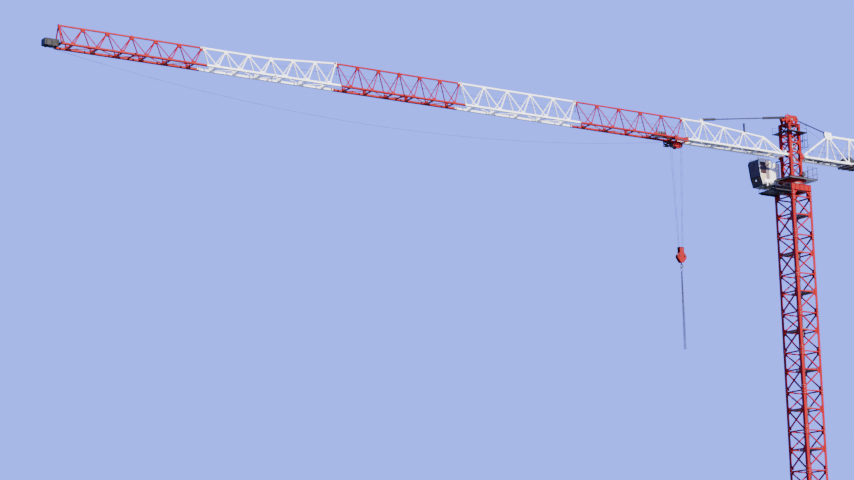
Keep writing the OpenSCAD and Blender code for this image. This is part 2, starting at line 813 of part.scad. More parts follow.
// Taut safety line under the top chord on hangers at the section joints
line_z = 460;
module safety_line() {
    x_in = 2500;
    x_out = trans_x;
    color(DARK) {
        rod([x_in, 0, jib_z + line_z], [x_out, 0, jib_z + line_z], rope_r, 8);
        block([x_in - 8, -8, jib_z + line_z - 8], [x_in + 8, 8, jib_z + top_h(x_in) - chord_t / 2 - 0.7]);
        for (x = [x_out, inner_x, inner_x - jib_section_l, inner_x - 2 * jib_section_l, inner_x - 3 * jib_section_l])
            block([x - 8, -8, jib_z + line_z - 8], [x + 8, 8, jib_z + top_h(x) - chord_t / 2 - end_over]);
    }
}

// Trolley winch inside the jib on the walkway's end
module trolley_winch() {
    z0 = jib_z + walk_low + deck_t;
    y1 = 120;
    color(DARK) {
        block([winch_x, -y1, z0], [winch_x + winch_l, y1, z0 + 16]);
        for (x = [winch_x + 30, winch_x + 250])
            block([x, -y1, z0 + 16], [x + 20, y1, z0 + 170]);
        block([winch_x + 10, -14, z0 + 16], [winch_x + 38, 14, z0 + 380]);
    }
    color(RED) {
        rod([winch_x + 50, 0, z0 + 110], [winch_x + 250, 0, z0 + 110], 72, 64);
        block([winch_x + 270, -60, z0 + 40], [winch_x + 380, 60, z0 + 180]);
        rod([winch_x + 380, 0, z0 + 110], [winch_x + 540, 0, z0 + 110], 55, 48);
        block([winch_x + 400, -40, z0 + 16], [winch_x + 520, 40, z0 + 60]);
    }
}

// Quarter-turn or other arc of rope in the XZ plane round a sheave, from angle a0 over angle span
module rope_arc(x, z, r, a0, span) {
    translate([x, rope_y, z])
        rotate([90, 0, 0])
            rotate([0, 0, a0])
                rotate_extrude(angle = span, $fn = 64)
                    translate([r, 0]) circle(r = rope_r, $fn = 8);
}

// Trolley rope: one endless loop just under the cross bars.
// Lead of the hoist rope: from the winch drum over the head block and down to the guide sheave.
rope_z = jib_z - 32;
loop_r = 70;
tail_off = 240;
loop_in = 1300;
lead_from = [winch_at, jib_z + winch_axis_z];
lead_to = [0, head_top + head_sheave_z];
lead_r = head_sheave_r + rope_r + fit_gap;
lead_tilt = atan2(lead_to[1] - lead_from[1], lead_to[0] - lead_from[0]);
lead_up = [-sin(lead_tilt), cos(lead_tilt)];
module fixed_ropes() {
    x1 = jib_tip + tail_off;
    drum_pt = lead_from + lead_up * (drum_r + rope_r + fit_gap);
    head_pt = lead_to + lead_up * (drum_r + rope_r + fit_gap);
    color(STEEL) {
        rod([drum_pt[0], rope_y, drum_pt[1]], [head_pt[0], rope_y, head_pt[1]], rope_r, 8);
        rope_arc(lead_to[0], lead_to[1], lead_r, 0, 90 + lead_tilt);
        rod([lead_r, rope_y, guide_z], [lead_r, rope_y, lead_to[1]], rope_r, 8);
        rope_arc(guide_x, guide_z, guide_r + rope_r + fit_gap, 180, 90);
        for (s = [-1, 1])
            rod([loop_in, s * loop_r, rope_z], [x1, s * loop_r, rope_z], rope_r, 8);
        for (e = [[loop_in, 90], [x1, -90]])
            translate([e[0], 0, rope_z])
                rotate([0, 0, e[1]])
                    rotate_extrude(angle = 180, $fn = 48)
                        translate([loop_r, 0]) circle(r = rope_r, $fn = 8);
    }
}

// Counter-jib

function c_top(x) = [x, 0, jib_z + counter_h];
function c_low(x, s) = [x, s * counter_w / 2, jib_z];
counter_end = -jib_root - counter_l;
counter_joint = -4400;
first_top = -2150;

// Bays from x0 back to x1, feet at the ends of each bay and tops at its middle
module counter_web(x0, x1, bays) {
    pitch = (x1 - x0) / bays;
    inset = 34;
    for (i = [0 : bays - 1], s = [-1, 1]) {
        m = x0 + (i + 0.5) * pitch;
        bar(c_low(x0 + i * pitch - (i == 0 ? inset : 0), s), c_top(m), jib_bar + 6);
        bar(c_low(x0 + (i + 1) * pitch + (i == bays - 1 ? inset : 0), s), c_top(m), jib_bar + 6);
    }
    for (i = [0 : bays - 1]) {
        s = i % 2 == 0 ? 1 : -1;
        bar(c_low(x0 + i * pitch - 40, s), c_low(x0 + (i + 1) * pitch + 40, -s), plan_bar);
    }
    for (i = [0 : bays])
        bar(c_low(x0 + i * pitch + (i == 0 ? -inset : i == bays ? inset : 0), -1),
            c_low(x0 + i * pitch + (i == 0 ? -inset : i == bays ? inset : 0), 1), cross_bar);
}

module counter_jib_front() {
    knee = -1700;
    color(WHITE) {
        difference() {
            for (s = [-1, 1]) bar(c_low(-jib_root, s), c_low(counter_joint, s), chord_b);
            block([-jib_root - 80, -counter_w, jib_z - 200], [-jib_root + 200, counter_w, jib_z + 200]);
        }
        block([-jib_root - 140, -counter_w / 2, jib_z - 30], [-jib_root - 80, counter_w / 2, jib_z + 30]);
        mirror([1, 0, 0]) foot_fork(jib_root, counter_w);
        bar(c_top(first_top + 40), c_top(counter_joint), chord_t);
        for (s = [-1, 1]) {
            bar(c_low(-jib_root - 110, s), c_top(first_top), jib_bar + 14);
            bar(c_low(knee, s), c_top(first_top), jib_bar + 6);
            bar(c_low(-2600, s), c_top(first_top), jib_bar + 6);
        }
        bar(c_low(knee, -1), c_low(knee, 1), cross_bar);
        bar(c_low(-jib_root - 110, 1), c_low(knee, -1), plan_bar);
        counter_web(-2600, counter_joint, 2);
        block([first_top - 130, -70, jib_z + counter_h - 70], [first_top + 130, 70, jib_z + counter_h + 90]);
        for (s = [-1, 1])
            difference() {
                block([first_top - 30, s * 33 - 9, jib_z + counter_h + 60],
                      [first_top + 235, s * 33 + 9, jib_z + counter_h + 150]);
                disc_y(counter_tie_x, s * 33, counter_tie_z, pin_r + fit_gap, 40);
            }
        counter_end_plates(counter_joint, false);
    }
}
counter_tie_x = first_top + 190;
counter_tie_z = jib_z + counter_h + 105;

module counter_end_plates(x, outward) {
    x0 = outward ? x - end_t : x;
    o = end_over;
    block([x0, -chord_t / 2 - o, jib_z + counter_h - chord_t / 2 - o],
          [x0 + end_t, chord_t / 2 + o, jib_z + counter_h + chord_t / 2 + o]);
    for (s = [-1, 1])
        block([x0, s * counter_w / 2 - chord_b / 2 - o, jib_z - chord_b / 2],
              [x0 + end_t, s * counter_w / 2 + chord_b / 2 + o, jib_z + chord_b / 2 + o]);
}

// Rear part, whose top chord comes down to the end frame in front of the ballast
module counter_jib_rear() {
    drop_x = counter_joint - 1800;
    color(WHITE) {
        for (s = [-1, 1]) bar(c_low(counter_joint, s), c_low(counter_end, s), chord_b);
        bar(c_top(counter_joint), c_top(drop_x), chord_t);
        counter_web(counter_joint, drop_x, 2);
        for (s = [-1, 1]) {
            bar(c_low(drop_x, s), c_top(drop_x), jib_bar + 14);
            bar(c_top(drop_x), c_low(ballast_x0 + 60, s), jib_bar + 14);
        }
        for (x = [ballast_x0 + 40, counter_end + 40]) bar(c_low(x, -1), c_low(x, 1), cross_bar);
        counter_end_plates(counter_joint, true);
    }
}

ballast_n = 5;
ballast_pitch = ballast_t + 10;
ballast_x0 = counter_end + 180 + ballast_n * ballast_pitch;

// Ballast slabs hung crosswise on the bottom chords by two notched shoulders
module ballast_blocks() {
    slot_w = chord_b + 2 * 6;
    color(CONCRETE)
        for (i = [0 : ballast_n - 1]) {
            x = ballast_x0 - (i + 1) * ballast_pitch;
            difference() {
                block([x, -ballast_w / 2, jib_z - ballast_h + 260], [x + ballast_t, ballast_w / 2, jib_z + chord_b / 2 + 160]);
                for (s = [-1, 1])
                    block([x - 1, s * counter_w / 2 - slot_w / 2, jib_z - ballast_h],
                          [x + ballast_t + 1, s * counter_w / 2 + slot_w / 2, jib_z + chord_b / 2]);
                block([x - 1, -counter_w / 2 + slot_w, jib_z + 60], [x + ballast_t + 1, counter_w / 2 - slot_w, jib_z + 400]);
            }
        }
}

// Grating between the bottom chords with the hoist winch's platform below them
module counter_jib_deck() {
    y1 = counter_w / 2 - chord_b / 2 - 30;
    color(STEEL)
        block([ballast_x0 + 120, -y1, jib_z + cross_bar / 2], [-jib_root - 200, y1, jib_z + cross_bar / 2 + deck_t]);
    color(RED) {
        for (x = [-2400, -3600])
            block([x - 40, -500, jib_z - chord_b / 2 - 110], [x + 40, 500, jib_z - chord_b / 2]);
        for (s = [-1, 1])
            block([-3640, s * 470 - 30, jib_z - chord_b / 2 - 110], [-2360, s * 470 + 30, jib_z - chord_b / 2]);
        for (s = [0, 1])
            mirror([0, s, 0])
                block([-3640, (counter_w + chord_b) / 2, jib_z - chord_b / 2], [-2360, 500, jib_z - chord_b / 2 + deck_t]);
    }
}

// Short tie from the head block to the counter-jib's first top node
module counter_jib_tie() {
    a = [-block_l / 2 + 50, 0, head_top + tie_pin_z];
    b = [counter_tie_x, 0, counter_tie_z];
    color(DARK)
        difference() {
            union() {
                bar(a, b, 38);
                disc_y(a[0], 0, a[2], 48, 44);
                disc_y(b[0], 0, b[2], 44, 40);
            }
            disc_y(a[0], 0, a[2], pin_r + fit_gap, 60);
            disc_y(b[0], 0, b[2], pin_r + fit_gap, 60);
        }
    color(STEEL) rod([b[0], -48, b[2]], [b[0], 48, b[2]], pin_r, 48);
}

// Hoist winch on the counter-jib's deck, drum across
module hoist_winch() {
    z0 = jib_z + cross_bar / 2 + deck_t;
    x = winch_at;
    axis = jib_z + winch_axis_z;
    color(DARK) block([x - 330, -150, z0], [x + 330, 150, z0 + 24]);
    color(RED) {
        for (s = [-1, 1])
            block([x - 150, s * 130 - 12, z0 + 24], [x + 150, s * 130 + 12, z0 + 220]);
        rod([x, -142, axis], [x, 142, axis], 34, 48);
    }
    color(STEEL) {
        rod([x, -118, axis], [x, 118, axis], drum_r, 96);
        for (s = [-1, 1]) disc_y(x, s * 108, axis, drum_r + 30, 16);
    }
    color(RED) {
        block([x - 320, -110, z0 + 24], [x - 190, 110, z0 + 190]);
        rod([x + 300, -110, z0 + 110], [x + 300, 110, z0 + 110], 70, 48);
        block([x + 240, -90, z0 + 24], [x + 320, 90, z0 + 110]);
    }
}

// Trolley

wheel_in = jib_w / 2 + chord_b / 2 + wheel_gap;
side_in = jib_w / 2 + chord_b / 2 + flange_w + wheel_gap;
wheel_z = jib_z - chord_b / 2 + flange_t + wheel_r + wheel_lift;
trolley_z = jib_z - chord_b / 2 - 25;
fall_x = 245;
sheave_z = trolley_z - 150;
trolley_sheave_r = sheave_r - 10;
sheave_off = fall_x - trolley_sheave_r;

module trolley_frame() {
    x0 = trolley_x - trolley_l / 2;
    x1 = trolley_x + trolley_l / 2;
    color(RED) {
        for (s = [-1, 1])
            mirror([0, s < 0 ? 1 : 0, 0]) {
                translate([0, side_in + side_t, 0])
                    rotate([90, 0, 0])
                        linear_extrude(side_t)
                            difference() {
                                polygon([[x0, trolley_z], [x0, wheel_z + 40], [x0 + 160, wheel_z + 40],
                                         [x0 + 230, trolley_z + 20], [x1 - 230, trolley_z + 20],
                                         [x1 - 160, wheel_z + 40], [x1, wheel_z + 40], [x1, trolley_z],
                                         [x1 - 120, trolley_z - 90], [x0 + 120, trolley_z - 90]]);
                                for (x = [x0 + 260, x1 - 380])
                                    translate([x, trolley_z - 60]) square([120, 50]);
                            }
                for (x = [x0 + 80, x1 - 80]) {
                    disc_y(x, wheel_in + wheel_w / 2, wheel_z, wheel_r, wheel_w);
                    rod([x, wheel_in, wheel_z], [x, side_in + side_t + 10, wheel_z], 14, 32);
                }
            }
        for (x = [x0 + 130, x1 - 190])
            block([x, -side_in - 2, trolley_z - 90], [x + 60, side_in + 2, trolley_z - 50]);
        for (s = [-1, 1])
            block([x0 + 130, s * 105 - 10, trolley_z - 240], [x1 - 130, s * 105 + 10, trolley_z - 40]);
        for (s = [-1, 1])
            block([x0 + 400, s * 105 - 10, trolley_z - 290], [x1 - 400, s * 105 + 10, trolley_z - 240]);
    }
    color(STEEL) {
        block([x1 - 190, -14, sag_in[1] - 16], [x1, 14, sag_in[1] + 16]);
        for (x = [trolley_x - sheave_off, trolley_x + sheave_off]) {
            rod([x, -125, sheave_z], [x, 125, sheave_z], 18, 32);
            for (y = [-fall_y, fall_y]) disc_y(x, y, sheave_z, trolley_sheave_r, 26);
        }
    }
    color(DARK) {
        bx = x1 - 330;
        y0 = -side_in - 2;
        for (x = [bx, x1 - 18], y = [y0 + 2, -150])
            block([x, y, trolley_z - 300], [x + 18, y + 18, trolley_z - 60]);
        for (y = [y0 + 2, -150], z = [trolley_z - 300, trolley_z - 78])
            block([bx, y, z], [x1, y + 18, z + 18]);
        block([bx, y0 + 2, trolley_z - 300], [x1, -132, trolley_z - 288]);
        for (x = [bx, x1 - 18], z = [trolley_z - 78])
            block([x, y0 + 2, z], [x + 18, -110, z + 18]);
    }
}

// Hoist rope along the jib: a taut run from the root and a sagging run to the nose
sag = 1000;
sag_rings = 40;
sag_in = [trolley_x + trolley_l / 2 + 0.5, jib_z - 145];
sag_out = [jib_tip + 380 - 0.5, jib_z - 95];
function sag_z(u) = sag_in[1] + (sag_out[1] - sag_in[1]) * u - 4 * sag * u * (1 - u);
function ring_pts(x, z, r, sides) = [for (k = [0 : sides - 1]) [x, r * cos(360 * k / sides), z + r * sin(360 * k / sides)]];

// Tube through rings of points that all have the same number of sides
module ring_tube(rings) {
    n = len(rings[0]);
    m = len(rings);
    pts = [for (r = rings) each r];
    sides = [for (i = [0 : m - 2], k = [0 : n - 1])
                [i * n + k, (i + 1) * n + k, (i + 1) * n + (k + 1) % n, i * n + (k + 1) % n]];
    caps = [[for (k = [0 : n - 1]) k], [for (k = [n - 1 : -1 : 0]) (m - 1) * n + k]];
    polyhedron(points = pts, faces = concat(sides, caps), convexity = 4);
}

module hoist_rope() {
    color(STEEL) {
        ring_tube([for (i = [0 : sag_rings])
                       let (u = i / sag_rings)
                           ring_pts(sag_in[0] + (sag_out[0] - sag_in[0]) * u, sag_z(u), rope_r, 8)]);
        rod([guide_x + 1, rope_y, run_z],
            [trolley_x - sheave_off, -fall_y, sheave_z + trolley_sheave_r + rope_r + fit_gap], rope_r, 8);
    }
}

// Four rope falls from the trolley's sheaves to the hook block
hook_top = jib_z - block_drop;
module rope_falls() {
    color(STEEL)
        for (sx = [-1, 1], sy = [-1, 1])
            rod([trolley_x + sx * (fall_x + rope_r + fit_gap), sy * fall_y, sheave_z - 20],
                [trolley_x + sx * 88, sy * 26, hook_top + 0.5], rope_r, 8);
}

// Hook block: two cheek plates with sheaves above, a heavier cross head below
module hook_block() {
    z1 = hook_top;
    z0 = hook_top - hook_block_h;
    color(RED) {
        block([trolley_x - 150, -54, z1 - 40], [trolley_x + 150, 54, z1]);
        for (s = [-1, 1])
            translate([trolley_x, s * 60 + 8, 0])
                rotate([90, 0, 0])
                    linear_extrude(16)
                        polygon([[-150, z1], [150, z1], [165, z1 - 230], [240, z1 - 290], [240, z0 + 60],
                                 [180, z0], [-180, z0], [-240, z0 + 60], [-240, z1 - 290], [-165, z1 - 230]]);
        difference() {
            block([trolley_x - 60, -62, z0 + 10], [trolley_x + 60, 62, z0 + 110]);
            translate([trolley_x, 0, z0]) cylinder(h = 120, r = shank_r + 0.05, $fn = 48);
        }
        for (x = [-200, 200])
            block([trolley_x + x - 30, -62, z0 + 90], [trolley_x + x + 30, 62, z0 + 200]);
    }
    color(STEEL)
        for (x = [-70, 70]) {
            rod([trolley_x + x, -78, z1 - 160], [trolley_x + x, 78, z1 - 160], 18, 32);
            disc_y(trolley_x + x, 0, z1 - 160, 66, 60);
        }
}

// Hook with a shank through the cross head, held by a nut, and a curved body
hook_eye = hook_top - hook_block_h;
throat_z = hook_eye - 165;
shank_r = 24;
bowl_r = 62;
bowl_bar = 26;
module hook() {
    color(DARK)
        translate([trolley_x, 0, 0]) {
            translate([0, 0, throat_z + bowl_r]) cylinder(h = hook_eye + 130 - throat_z - bowl_r, r = shank_r, $fn = 48);
            translate([0, 0, hook_eye + 110.3]) cylinder(h = 26, r = 42, $fn = 48);
            translate([0, 0, hook_eye - 20]) cylinder(h = 29.5, r = 40, $fn = 48);
            translate([0, 0, throat_z])
                rotate([90, 0, 0])
                    rotate([0, 0, 90])
                        rotate_extrude(angle = 260, $fn = 64)
                            translate([bowl_r, 0]) circle(r = bowl_bar, $fn = 32);
        }
}

// Four chain legs hanging together from the master link
link_bar = 9;
link_r = 40;
link_l = 90;
link_top = throat_z - bowl_r + bowl_bar + fit_gap - link_r + link_bar;
sling_top = link_top - link_l - link_r - link_bar + 0.9;
function leg_xy(t) = [12 + 14 * t, 12 + 14 * t];
module chain_sling() {
    rings = 12;
    color(STEEL)
        for (sx = [-1, 1], sy = [-1, 1])
            ring_tube([for (i = [rings : -1 : 0])
                           let (t = i / rings, xy = leg_xy(t))
                               [for (k = [0 : 7]) [trolley_x + sx * (xy[0] + 1) + sling_r * cos(45 * k),
                                                   sy * (xy[1] + 1) + sling_r * sin(45 * k),
                                                   sling_top - sling_l * t]]]);
}

// Oblong master link round the hook's bowl, and the four hooks at the ends of the legs
end_hook_r = 17;
module sling_fittings() {
    z0 = sling_top - sling_l;
    tip_xy = leg_xy(1);
    color(DARK) {
        translate([trolley_x, 0, 0]) {
            for (s = [-1, 1])
                rod([0, s * link_r, link_top - link_l], [0, s * link_r, link_top], link_bar, 24);
            for (e = [[link_top, 0], [link_top - link_l, 180]])
                translate([0, 0, e[0]])
                    rotate([90, 0, 90])
                        rotate([0, 0, e[1]])
                            rotate_extrude(angle = 180, $fn = 48)
                                translate([link_r, 0]) circle(r = link_bar, $fn = 24);
        }
        for (sx = [-1, 1], sy = [-1, 1])
            translate([trolley_x + sx * (tip_xy[0] + 1), sy * (tip_xy[1] + 1), z0]) {
                translate([0, 0, -60]) cylinder(h = 59.5, r = 9, $fn = 24);
                translate([0, 0, -60 - end_hook_r])
                    rotate([90, 0, 45 * sx * sy])
                        rotate([0, 0, 90])
                            rotate_extrude(angle = 250, $fn = 32)
                                translate([end_hook_r, 0]) circle(r = 7, $fn = 16);
            }
    }
}

base_frame();
mast_section(0);  // mast_section_01
mast_section(1);  // mast_section_02
mast_section(2);  // mast_section_03
mast_section(3);  // mast_section_04
mast_section(4);  // mast_section_05
mast_section(5);  // mast_section_06
mast_section(6);  // mast_section_07
mast_section(7);  // mast_section_08
mast_section(8);  // mast_section_09
mast_section(9);  // mast_section_10
mast_section(10);  // mast_section_11
mast_section(11);  // mast_section_12
mast_access();
mast_collar();
slewing_ring();
turntable();
service_platform();
tower_head();
head_platform();
cab_body();
cab_windows();
control_cabinet();
jib_section_1();
jib_section_2();
jib_section_3();
jib_section_4();
jib_section_5();
jib_section_6();
jib_nose();
jib_tie();
jib_walkway();
safety_line();
trolley_winch();
fixed_ropes();
counter_jib_front();
counter_jib_rear();
counter_jib_deck();
counter_jib_tie();
hoist_winch();
ballast_blocks();
trolley_frame();
hoist_rope();
rope_falls();
hook_block();
hook();
chain_sling();
sling_fittings();
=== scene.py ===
"""Looks of a tower crane at 1:2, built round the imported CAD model.

Lengths are millimetres in the part's own frame: the origin is the centre of the base's underside,
+X runs out along the jib and +Z is up. The mesh builder turns them into metres.
"""

import math

import bmesh
import bpy
import numpy as np
from mathutils import Matrix, Vector


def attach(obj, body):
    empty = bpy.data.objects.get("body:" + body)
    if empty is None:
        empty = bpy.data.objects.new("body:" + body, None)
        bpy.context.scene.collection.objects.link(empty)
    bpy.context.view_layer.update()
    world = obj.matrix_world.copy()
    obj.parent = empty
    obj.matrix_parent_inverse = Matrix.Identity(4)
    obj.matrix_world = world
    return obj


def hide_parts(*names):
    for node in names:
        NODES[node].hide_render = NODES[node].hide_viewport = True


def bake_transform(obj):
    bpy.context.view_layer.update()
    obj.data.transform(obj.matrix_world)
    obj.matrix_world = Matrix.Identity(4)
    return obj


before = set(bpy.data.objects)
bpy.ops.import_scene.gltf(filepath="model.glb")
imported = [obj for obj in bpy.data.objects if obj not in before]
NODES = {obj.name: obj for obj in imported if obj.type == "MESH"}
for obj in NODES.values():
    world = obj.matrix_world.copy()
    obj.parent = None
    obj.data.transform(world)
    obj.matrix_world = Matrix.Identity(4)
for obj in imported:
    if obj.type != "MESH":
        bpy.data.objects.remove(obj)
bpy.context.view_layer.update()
MM = 0.001

# Driving dimensions: the part's own, and those of the pieces that are made anew here. Base and mast first

MAST_W = 1000
BASE_H = 150
SECTION_H = 1500
SECTIONS = 12
SECTION_MID = 770
LEG_W = 120
LEG_T = 16
FISH_T = 14
MAST_TOP = BASE_H + SECTIONS * SECTION_H
LADDER_X = 115

# Slewing support

COLLAR_Z = MAST_TOP + 200
COLLAR_TOP = COLLAR_Z + 250
COLLAR_W = MAST_W + 40
LANDING_L = 830
RACE_H = 75
RING_R = 430
TURN_Z = COLLAR_TOP + 2 * RACE_H + 0.5
TURN_TOP = TURN_Z + 200
TURN_W = 760
JIB_Z = TURN_TOP + 825

# Tower head

HEAD_W = 600
HEAD_LEG = 105
HEAD_TOP = JIB_Z + 1275
HEAD_DECK_Z = JIB_Z + 930
BLOCK_H = 375
BLOCK_L = 660
PIN_X = BLOCK_L / 2 - 50
PIN_Z = HEAD_TOP + BLOCK_H - 95
GUIDE_X = 200.6
ROPE_Y = -15

# Jib

JIB_ROOT = 400
JIB_W = 550
CHORD_B = 70
TOP_W = 54
JIB_BAR = 34
CROSS_BAR = 44
PLAN_BAR = 25
SECTION_L = 5000
JIB_TIP = JIB_ROOT + 6 * SECTION_L
KNEE_X = 1365
TIE_X = JIB_ROOT + 4085
TIE_LUG = 90
INNER_X = JIB_TIP - 2 * SECTION_L
TRANS_X = JIB_TIP - 1.5 * SECTION_L
JIB_H_ROOT = 110
JIB_H_KNEE = 620
JIB_H_IN = 840
JIB_H_OUT = 650
DECK_Z = JIB_Z + 42.5
WINCH_X = 6250
POST_X = 2330
POST_H = 330

# Counter-jib, whose X runs backwards

COUNTER_W = 600
COUNTER_H = 1075
CHORD_T = 80
COUNTER_PORTAL = -740
COUNTER_KNEE = -1630
COUNTER_APEX = -2020
FIRST_TOP = -2150
COUNTER_FOOT = -2757
COUNTER_JOINT = -4400
COUNTER_BAY = (COUNTER_FOOT - COUNTER_JOINT) / 2
COUNTER_BAR = 42
COUNTER_END = -8000
BALLAST_X0 = -6920
HOIST_X = -3050

# Trolley and hook

TROLLEY_X = 5750
TROLLEY_Z = JIB_Z - CHORD_B / 2 - 25
TROLLEY_HALF = 325
WHEEL_OFF = 255
WHEEL_Z = JIB_Z - CHORD_B / 2 + 12 + 45 + 0.3
SIDE_IN = JIB_W / 2 + CHORD_B / 2 + 35 + 6
SHEAVE_X = 135
SHEAVE_Y = 50
SHEAVE_Z = TROLLEY_Z - 150
SHEAVE_R = 110
ARM_X = 475
ROPE_R = 5
FALL_X = 245
HOOK_TOP = JIB_Z - 4100
HOOK_EYE = HOOK_TOP - 545
THROAT_Z = HOOK_EYE - 165
SLING_TOP = THROAT_Z - 204.8
SLING_L = 2790
SLING_FOOT = 27

# Cab

CAB_BACK = 620
CAB_FRONT = 1300
CAB_LEAN = 190
CAB_W = 620
CAB_H = 1000
CAB_MID_Y = -425 - CAB_W / 2
CAB_NEAR, CAB_FAR = CAB_MID_Y + CAB_W / 2, CAB_MID_Y - CAB_W / 2
CAB_FLOOR = JIB_Z - 1090
CAB_TOP = CAB_FLOOR + CAB_H
CAB_SILL, CAB_KNEE, CAB_BROW = 60, 0.3 * CAB_H, 0.86 * CAB_H
CABINET_X = 210


# Mesh builder

X_AXIS, Y_AXIS, UP = (1, 0, 0), (0, 1, 0), (0, 0, 1)
SIDES = (-1, 1)
CORNERS = ((-1, -1), (-1, 1), (1, -1), (1, 1))


def frame_of(out):
    """Rotation whose third column runs along out."""
    return Vector(out).to_track_quat("Z", "X").to_matrix()


def quarter(k):
    """Rotation by k quarter turns about the mast axis."""
    return Matrix.Rotation(math.radians(90 * k), 3, "Z")


def around(count, r, start=0.0):
    """Points at even steps round a circle, as pairs."""
    steps = [start + 2 * math.pi * k / count for k in range(count)]
    return [(r * math.cos(a), r * math.sin(a)) for a in steps]


class Mesh:
    """Collects simple closed solids into one mesh, in millimetres."""

    def __init__(self):
        self.verts = []
        self.faces = []
        self.mats = []
        self.smooth = []

    def loft(self, rings, mat=0, smooth=True, closed=False):
        """Solid through rings of points that all have the same count."""
        n, m = len(rings[0]), len(rings)
        base = len(self.verts)
        self.verts.extend([tuple(p) for ring in rings for p in ring])
        faces = []
        for i in range(m if closed else m - 1):
            low, high = base + i * n, base + (i + 1) % m * n
            faces += [[low + k, low + (k + 1) % n, high + (k + 1) % n, high + k] for k in range(n)]
        self.smooth += [smooth] * len(faces)
        if not closed:
            faces += [[base + k for k in reversed(range(n))], [base + (m - 1) * n + k for k in range(n)]]
            self.smooth += [False, False]
        self.faces += faces
        self.mats += [mat] * len(faces)

    def place(self, part, rot=Matrix.Identity(3), at=(0, 0, 0)):
        """Adds another mesh turned by rot and moved to at."""
        at = Vector(at)
        base = len(self.verts)
        self.verts.extend([tuple(rot @ Vector(v) + at) for v in part.verts])
        self.faces.extend([[base + k for k in f] for f in part.faces])
        self.mats.extend(part.mats)
        self.smooth.extend(part.smooth)

    def four(self, part, at=(0, 0, 0)):
        """Adds another mesh on each of the mast's four sides."""
        for k in range(4):
            self.place(part, quarter(k), at)

    def box(self, a, b, mat=0, edge=0.0):
        """Box between two corners, with its upright and level edges cut by edge."""
        x0, y0, z0 = map(min, a, b)
        x1, y1, z1 = map(max, a, b)
        e = min(edge, 0.45 * min(x1 - x0, y1 - y0, z1 - z0))
        if e <= 0:
            ring = [(x0, y0), (x1, y0), (x1, y1), (x0, y1)]
            self.loft([[(x, y, z) for x, y in ring] for z in (z0, z1)], mat, False)
            return
        rings = []
        for z, cut in ((z0, 0.7 * e), (z0 + e, 0), (z1 - e, 0), (z1, 0.7 * e)):
            xa, xb, ya, yb = x0 + cut, x1 - cut, y0 + cut, y1 - cut
            rings.append([(xa + e, ya, z), (xb - e, ya, z), (xb, ya + e, z), (xb, yb - e, z),
                          (xb - e, yb, z), (xa + e, yb, z), (xa, yb - e, z), (xa, ya + e, z)])
        self.loft(rings, mat, False)

    def pad(self, x, y, half_x, half_y, z0, z1, mat=0, edge=0.0):
        """Box round the upright line through x and y."""
        self.box((x - half_x, y - half_y, z0), (x + half_x, y + half_y, z1), mat, edge)

    def bar(self, a, b, w, h=None, mat=0, edge=0.0):
        """Square or flat bar from a to b."""
        a, b = Vector(a), Vector(b)
        part = Mesh()
        part.pad(0, 0, w / 2, (w if h is None else h) / 2, 0, (b - a).length, mat, edge)
        self.place(part, frame_of(b - a), a)

    def lathe(self, profile, at, out, sides=24, mat=0, smooth=True):
        """Turned solid: profile is (radius, height) pairs along out."""
        rot, at = frame_of(out), Vector(at)
        rings = [[rot @ Vector((x, y, h)) + at for x, y in around(sides, r)] for r, h in profile]
        self.loft(rings, mat, smooth)

    def rod(self, a, b, r, sides=16, mat=0, edge=0.0):
        """Round rod with its rims cut by edge."""
        out = Vector(b) - Vector(a)
        end = out.length
        profile = [(r, 0), (r, end)]
        if edge > 0:
            profile = [(r - edge, 0), (r, edge), (r, end - edge), (r - edge, end)]
        self.lathe(profile, a, out, sides, mat)

    def hex_bolt(self, at, out, across, height, mat=0, washer=True):
        """Bolt head with a washer on a plate at a point, standing along out."""
        at, out = Vector(at), Vector(out).normalized()
        foot = 0.22 * height if washer else 0
        if washer:
            self.rod(at, at + out * foot, across * 0.68, 12, mat)
        self.lathe([(across * 0.577, 0), (across * 0.577, height * 0.85), (across * 0.5, height)],
                   at + out * foot, out, 6, mat, False)

    def tube(self, points, r, sides=8, mat=0, closed=False):
        """Round tube along points."""
        pts = [Vector(p) for p in points]
        rings = []
        up = None
        last = len(pts) - 1
        for i, p in enumerate(pts):
            ahead = pts[(i + 1) % len(pts)] if closed or i < last else p
            behind = pts[i - 1] if closed or i > 0 else p
            t = (ahead - behind).normalized()
            up = t.orthogonal() if up is None else up
            up = (up - t * up.dot(t)).normalized()
            side = t.cross(up)
            rings.append([p + c * up + s * side for c, s in around(sides, r)])
        self.loft(rings, mat, True, closed)

    def torus(self, centre, axis, big, small, sides=32, cuts=10, mat=0):
        """Ring of round section."""
        rot, centre = frame_of(axis), Vector(centre)
        section = around(cuts, small)
        self.loft([[rot @ Vector(((big + d) * c, (big + d) * s, h)) + centre for d, h in section]
                   for c, s in around(sides, 1)], mat, True, True)

    def plate(self, outline, normal, thick, mat=0):
        """Flat plate: outline is points in space, its thickness runs both ways along normal."""
        n = Vector(normal).normalized() * thick / 2
        self.loft([[Vector(p) - n for p in outline], [Vector(p) + n for p in outline]], mat, False)

    def upright(self, y, outline, thick, mat=0):
        """Plate across the Y axis: outline is pairs of x and z."""
        self.plate([(x, y, z) for x, z in outline], Y_AXIS, thick, mat)

    def spokes(self, centre, inner, outer, count, w, h, start=0.0):
        """Flat bars from hub to rim of a wheel whose axle lies along Y."""
        x, y, z = centre
        for c, s in around(count, 1, start):
            self.bar((x + inner * c, y, z + inner * s), (x + outer * c, y, z + outer * s), w, h)

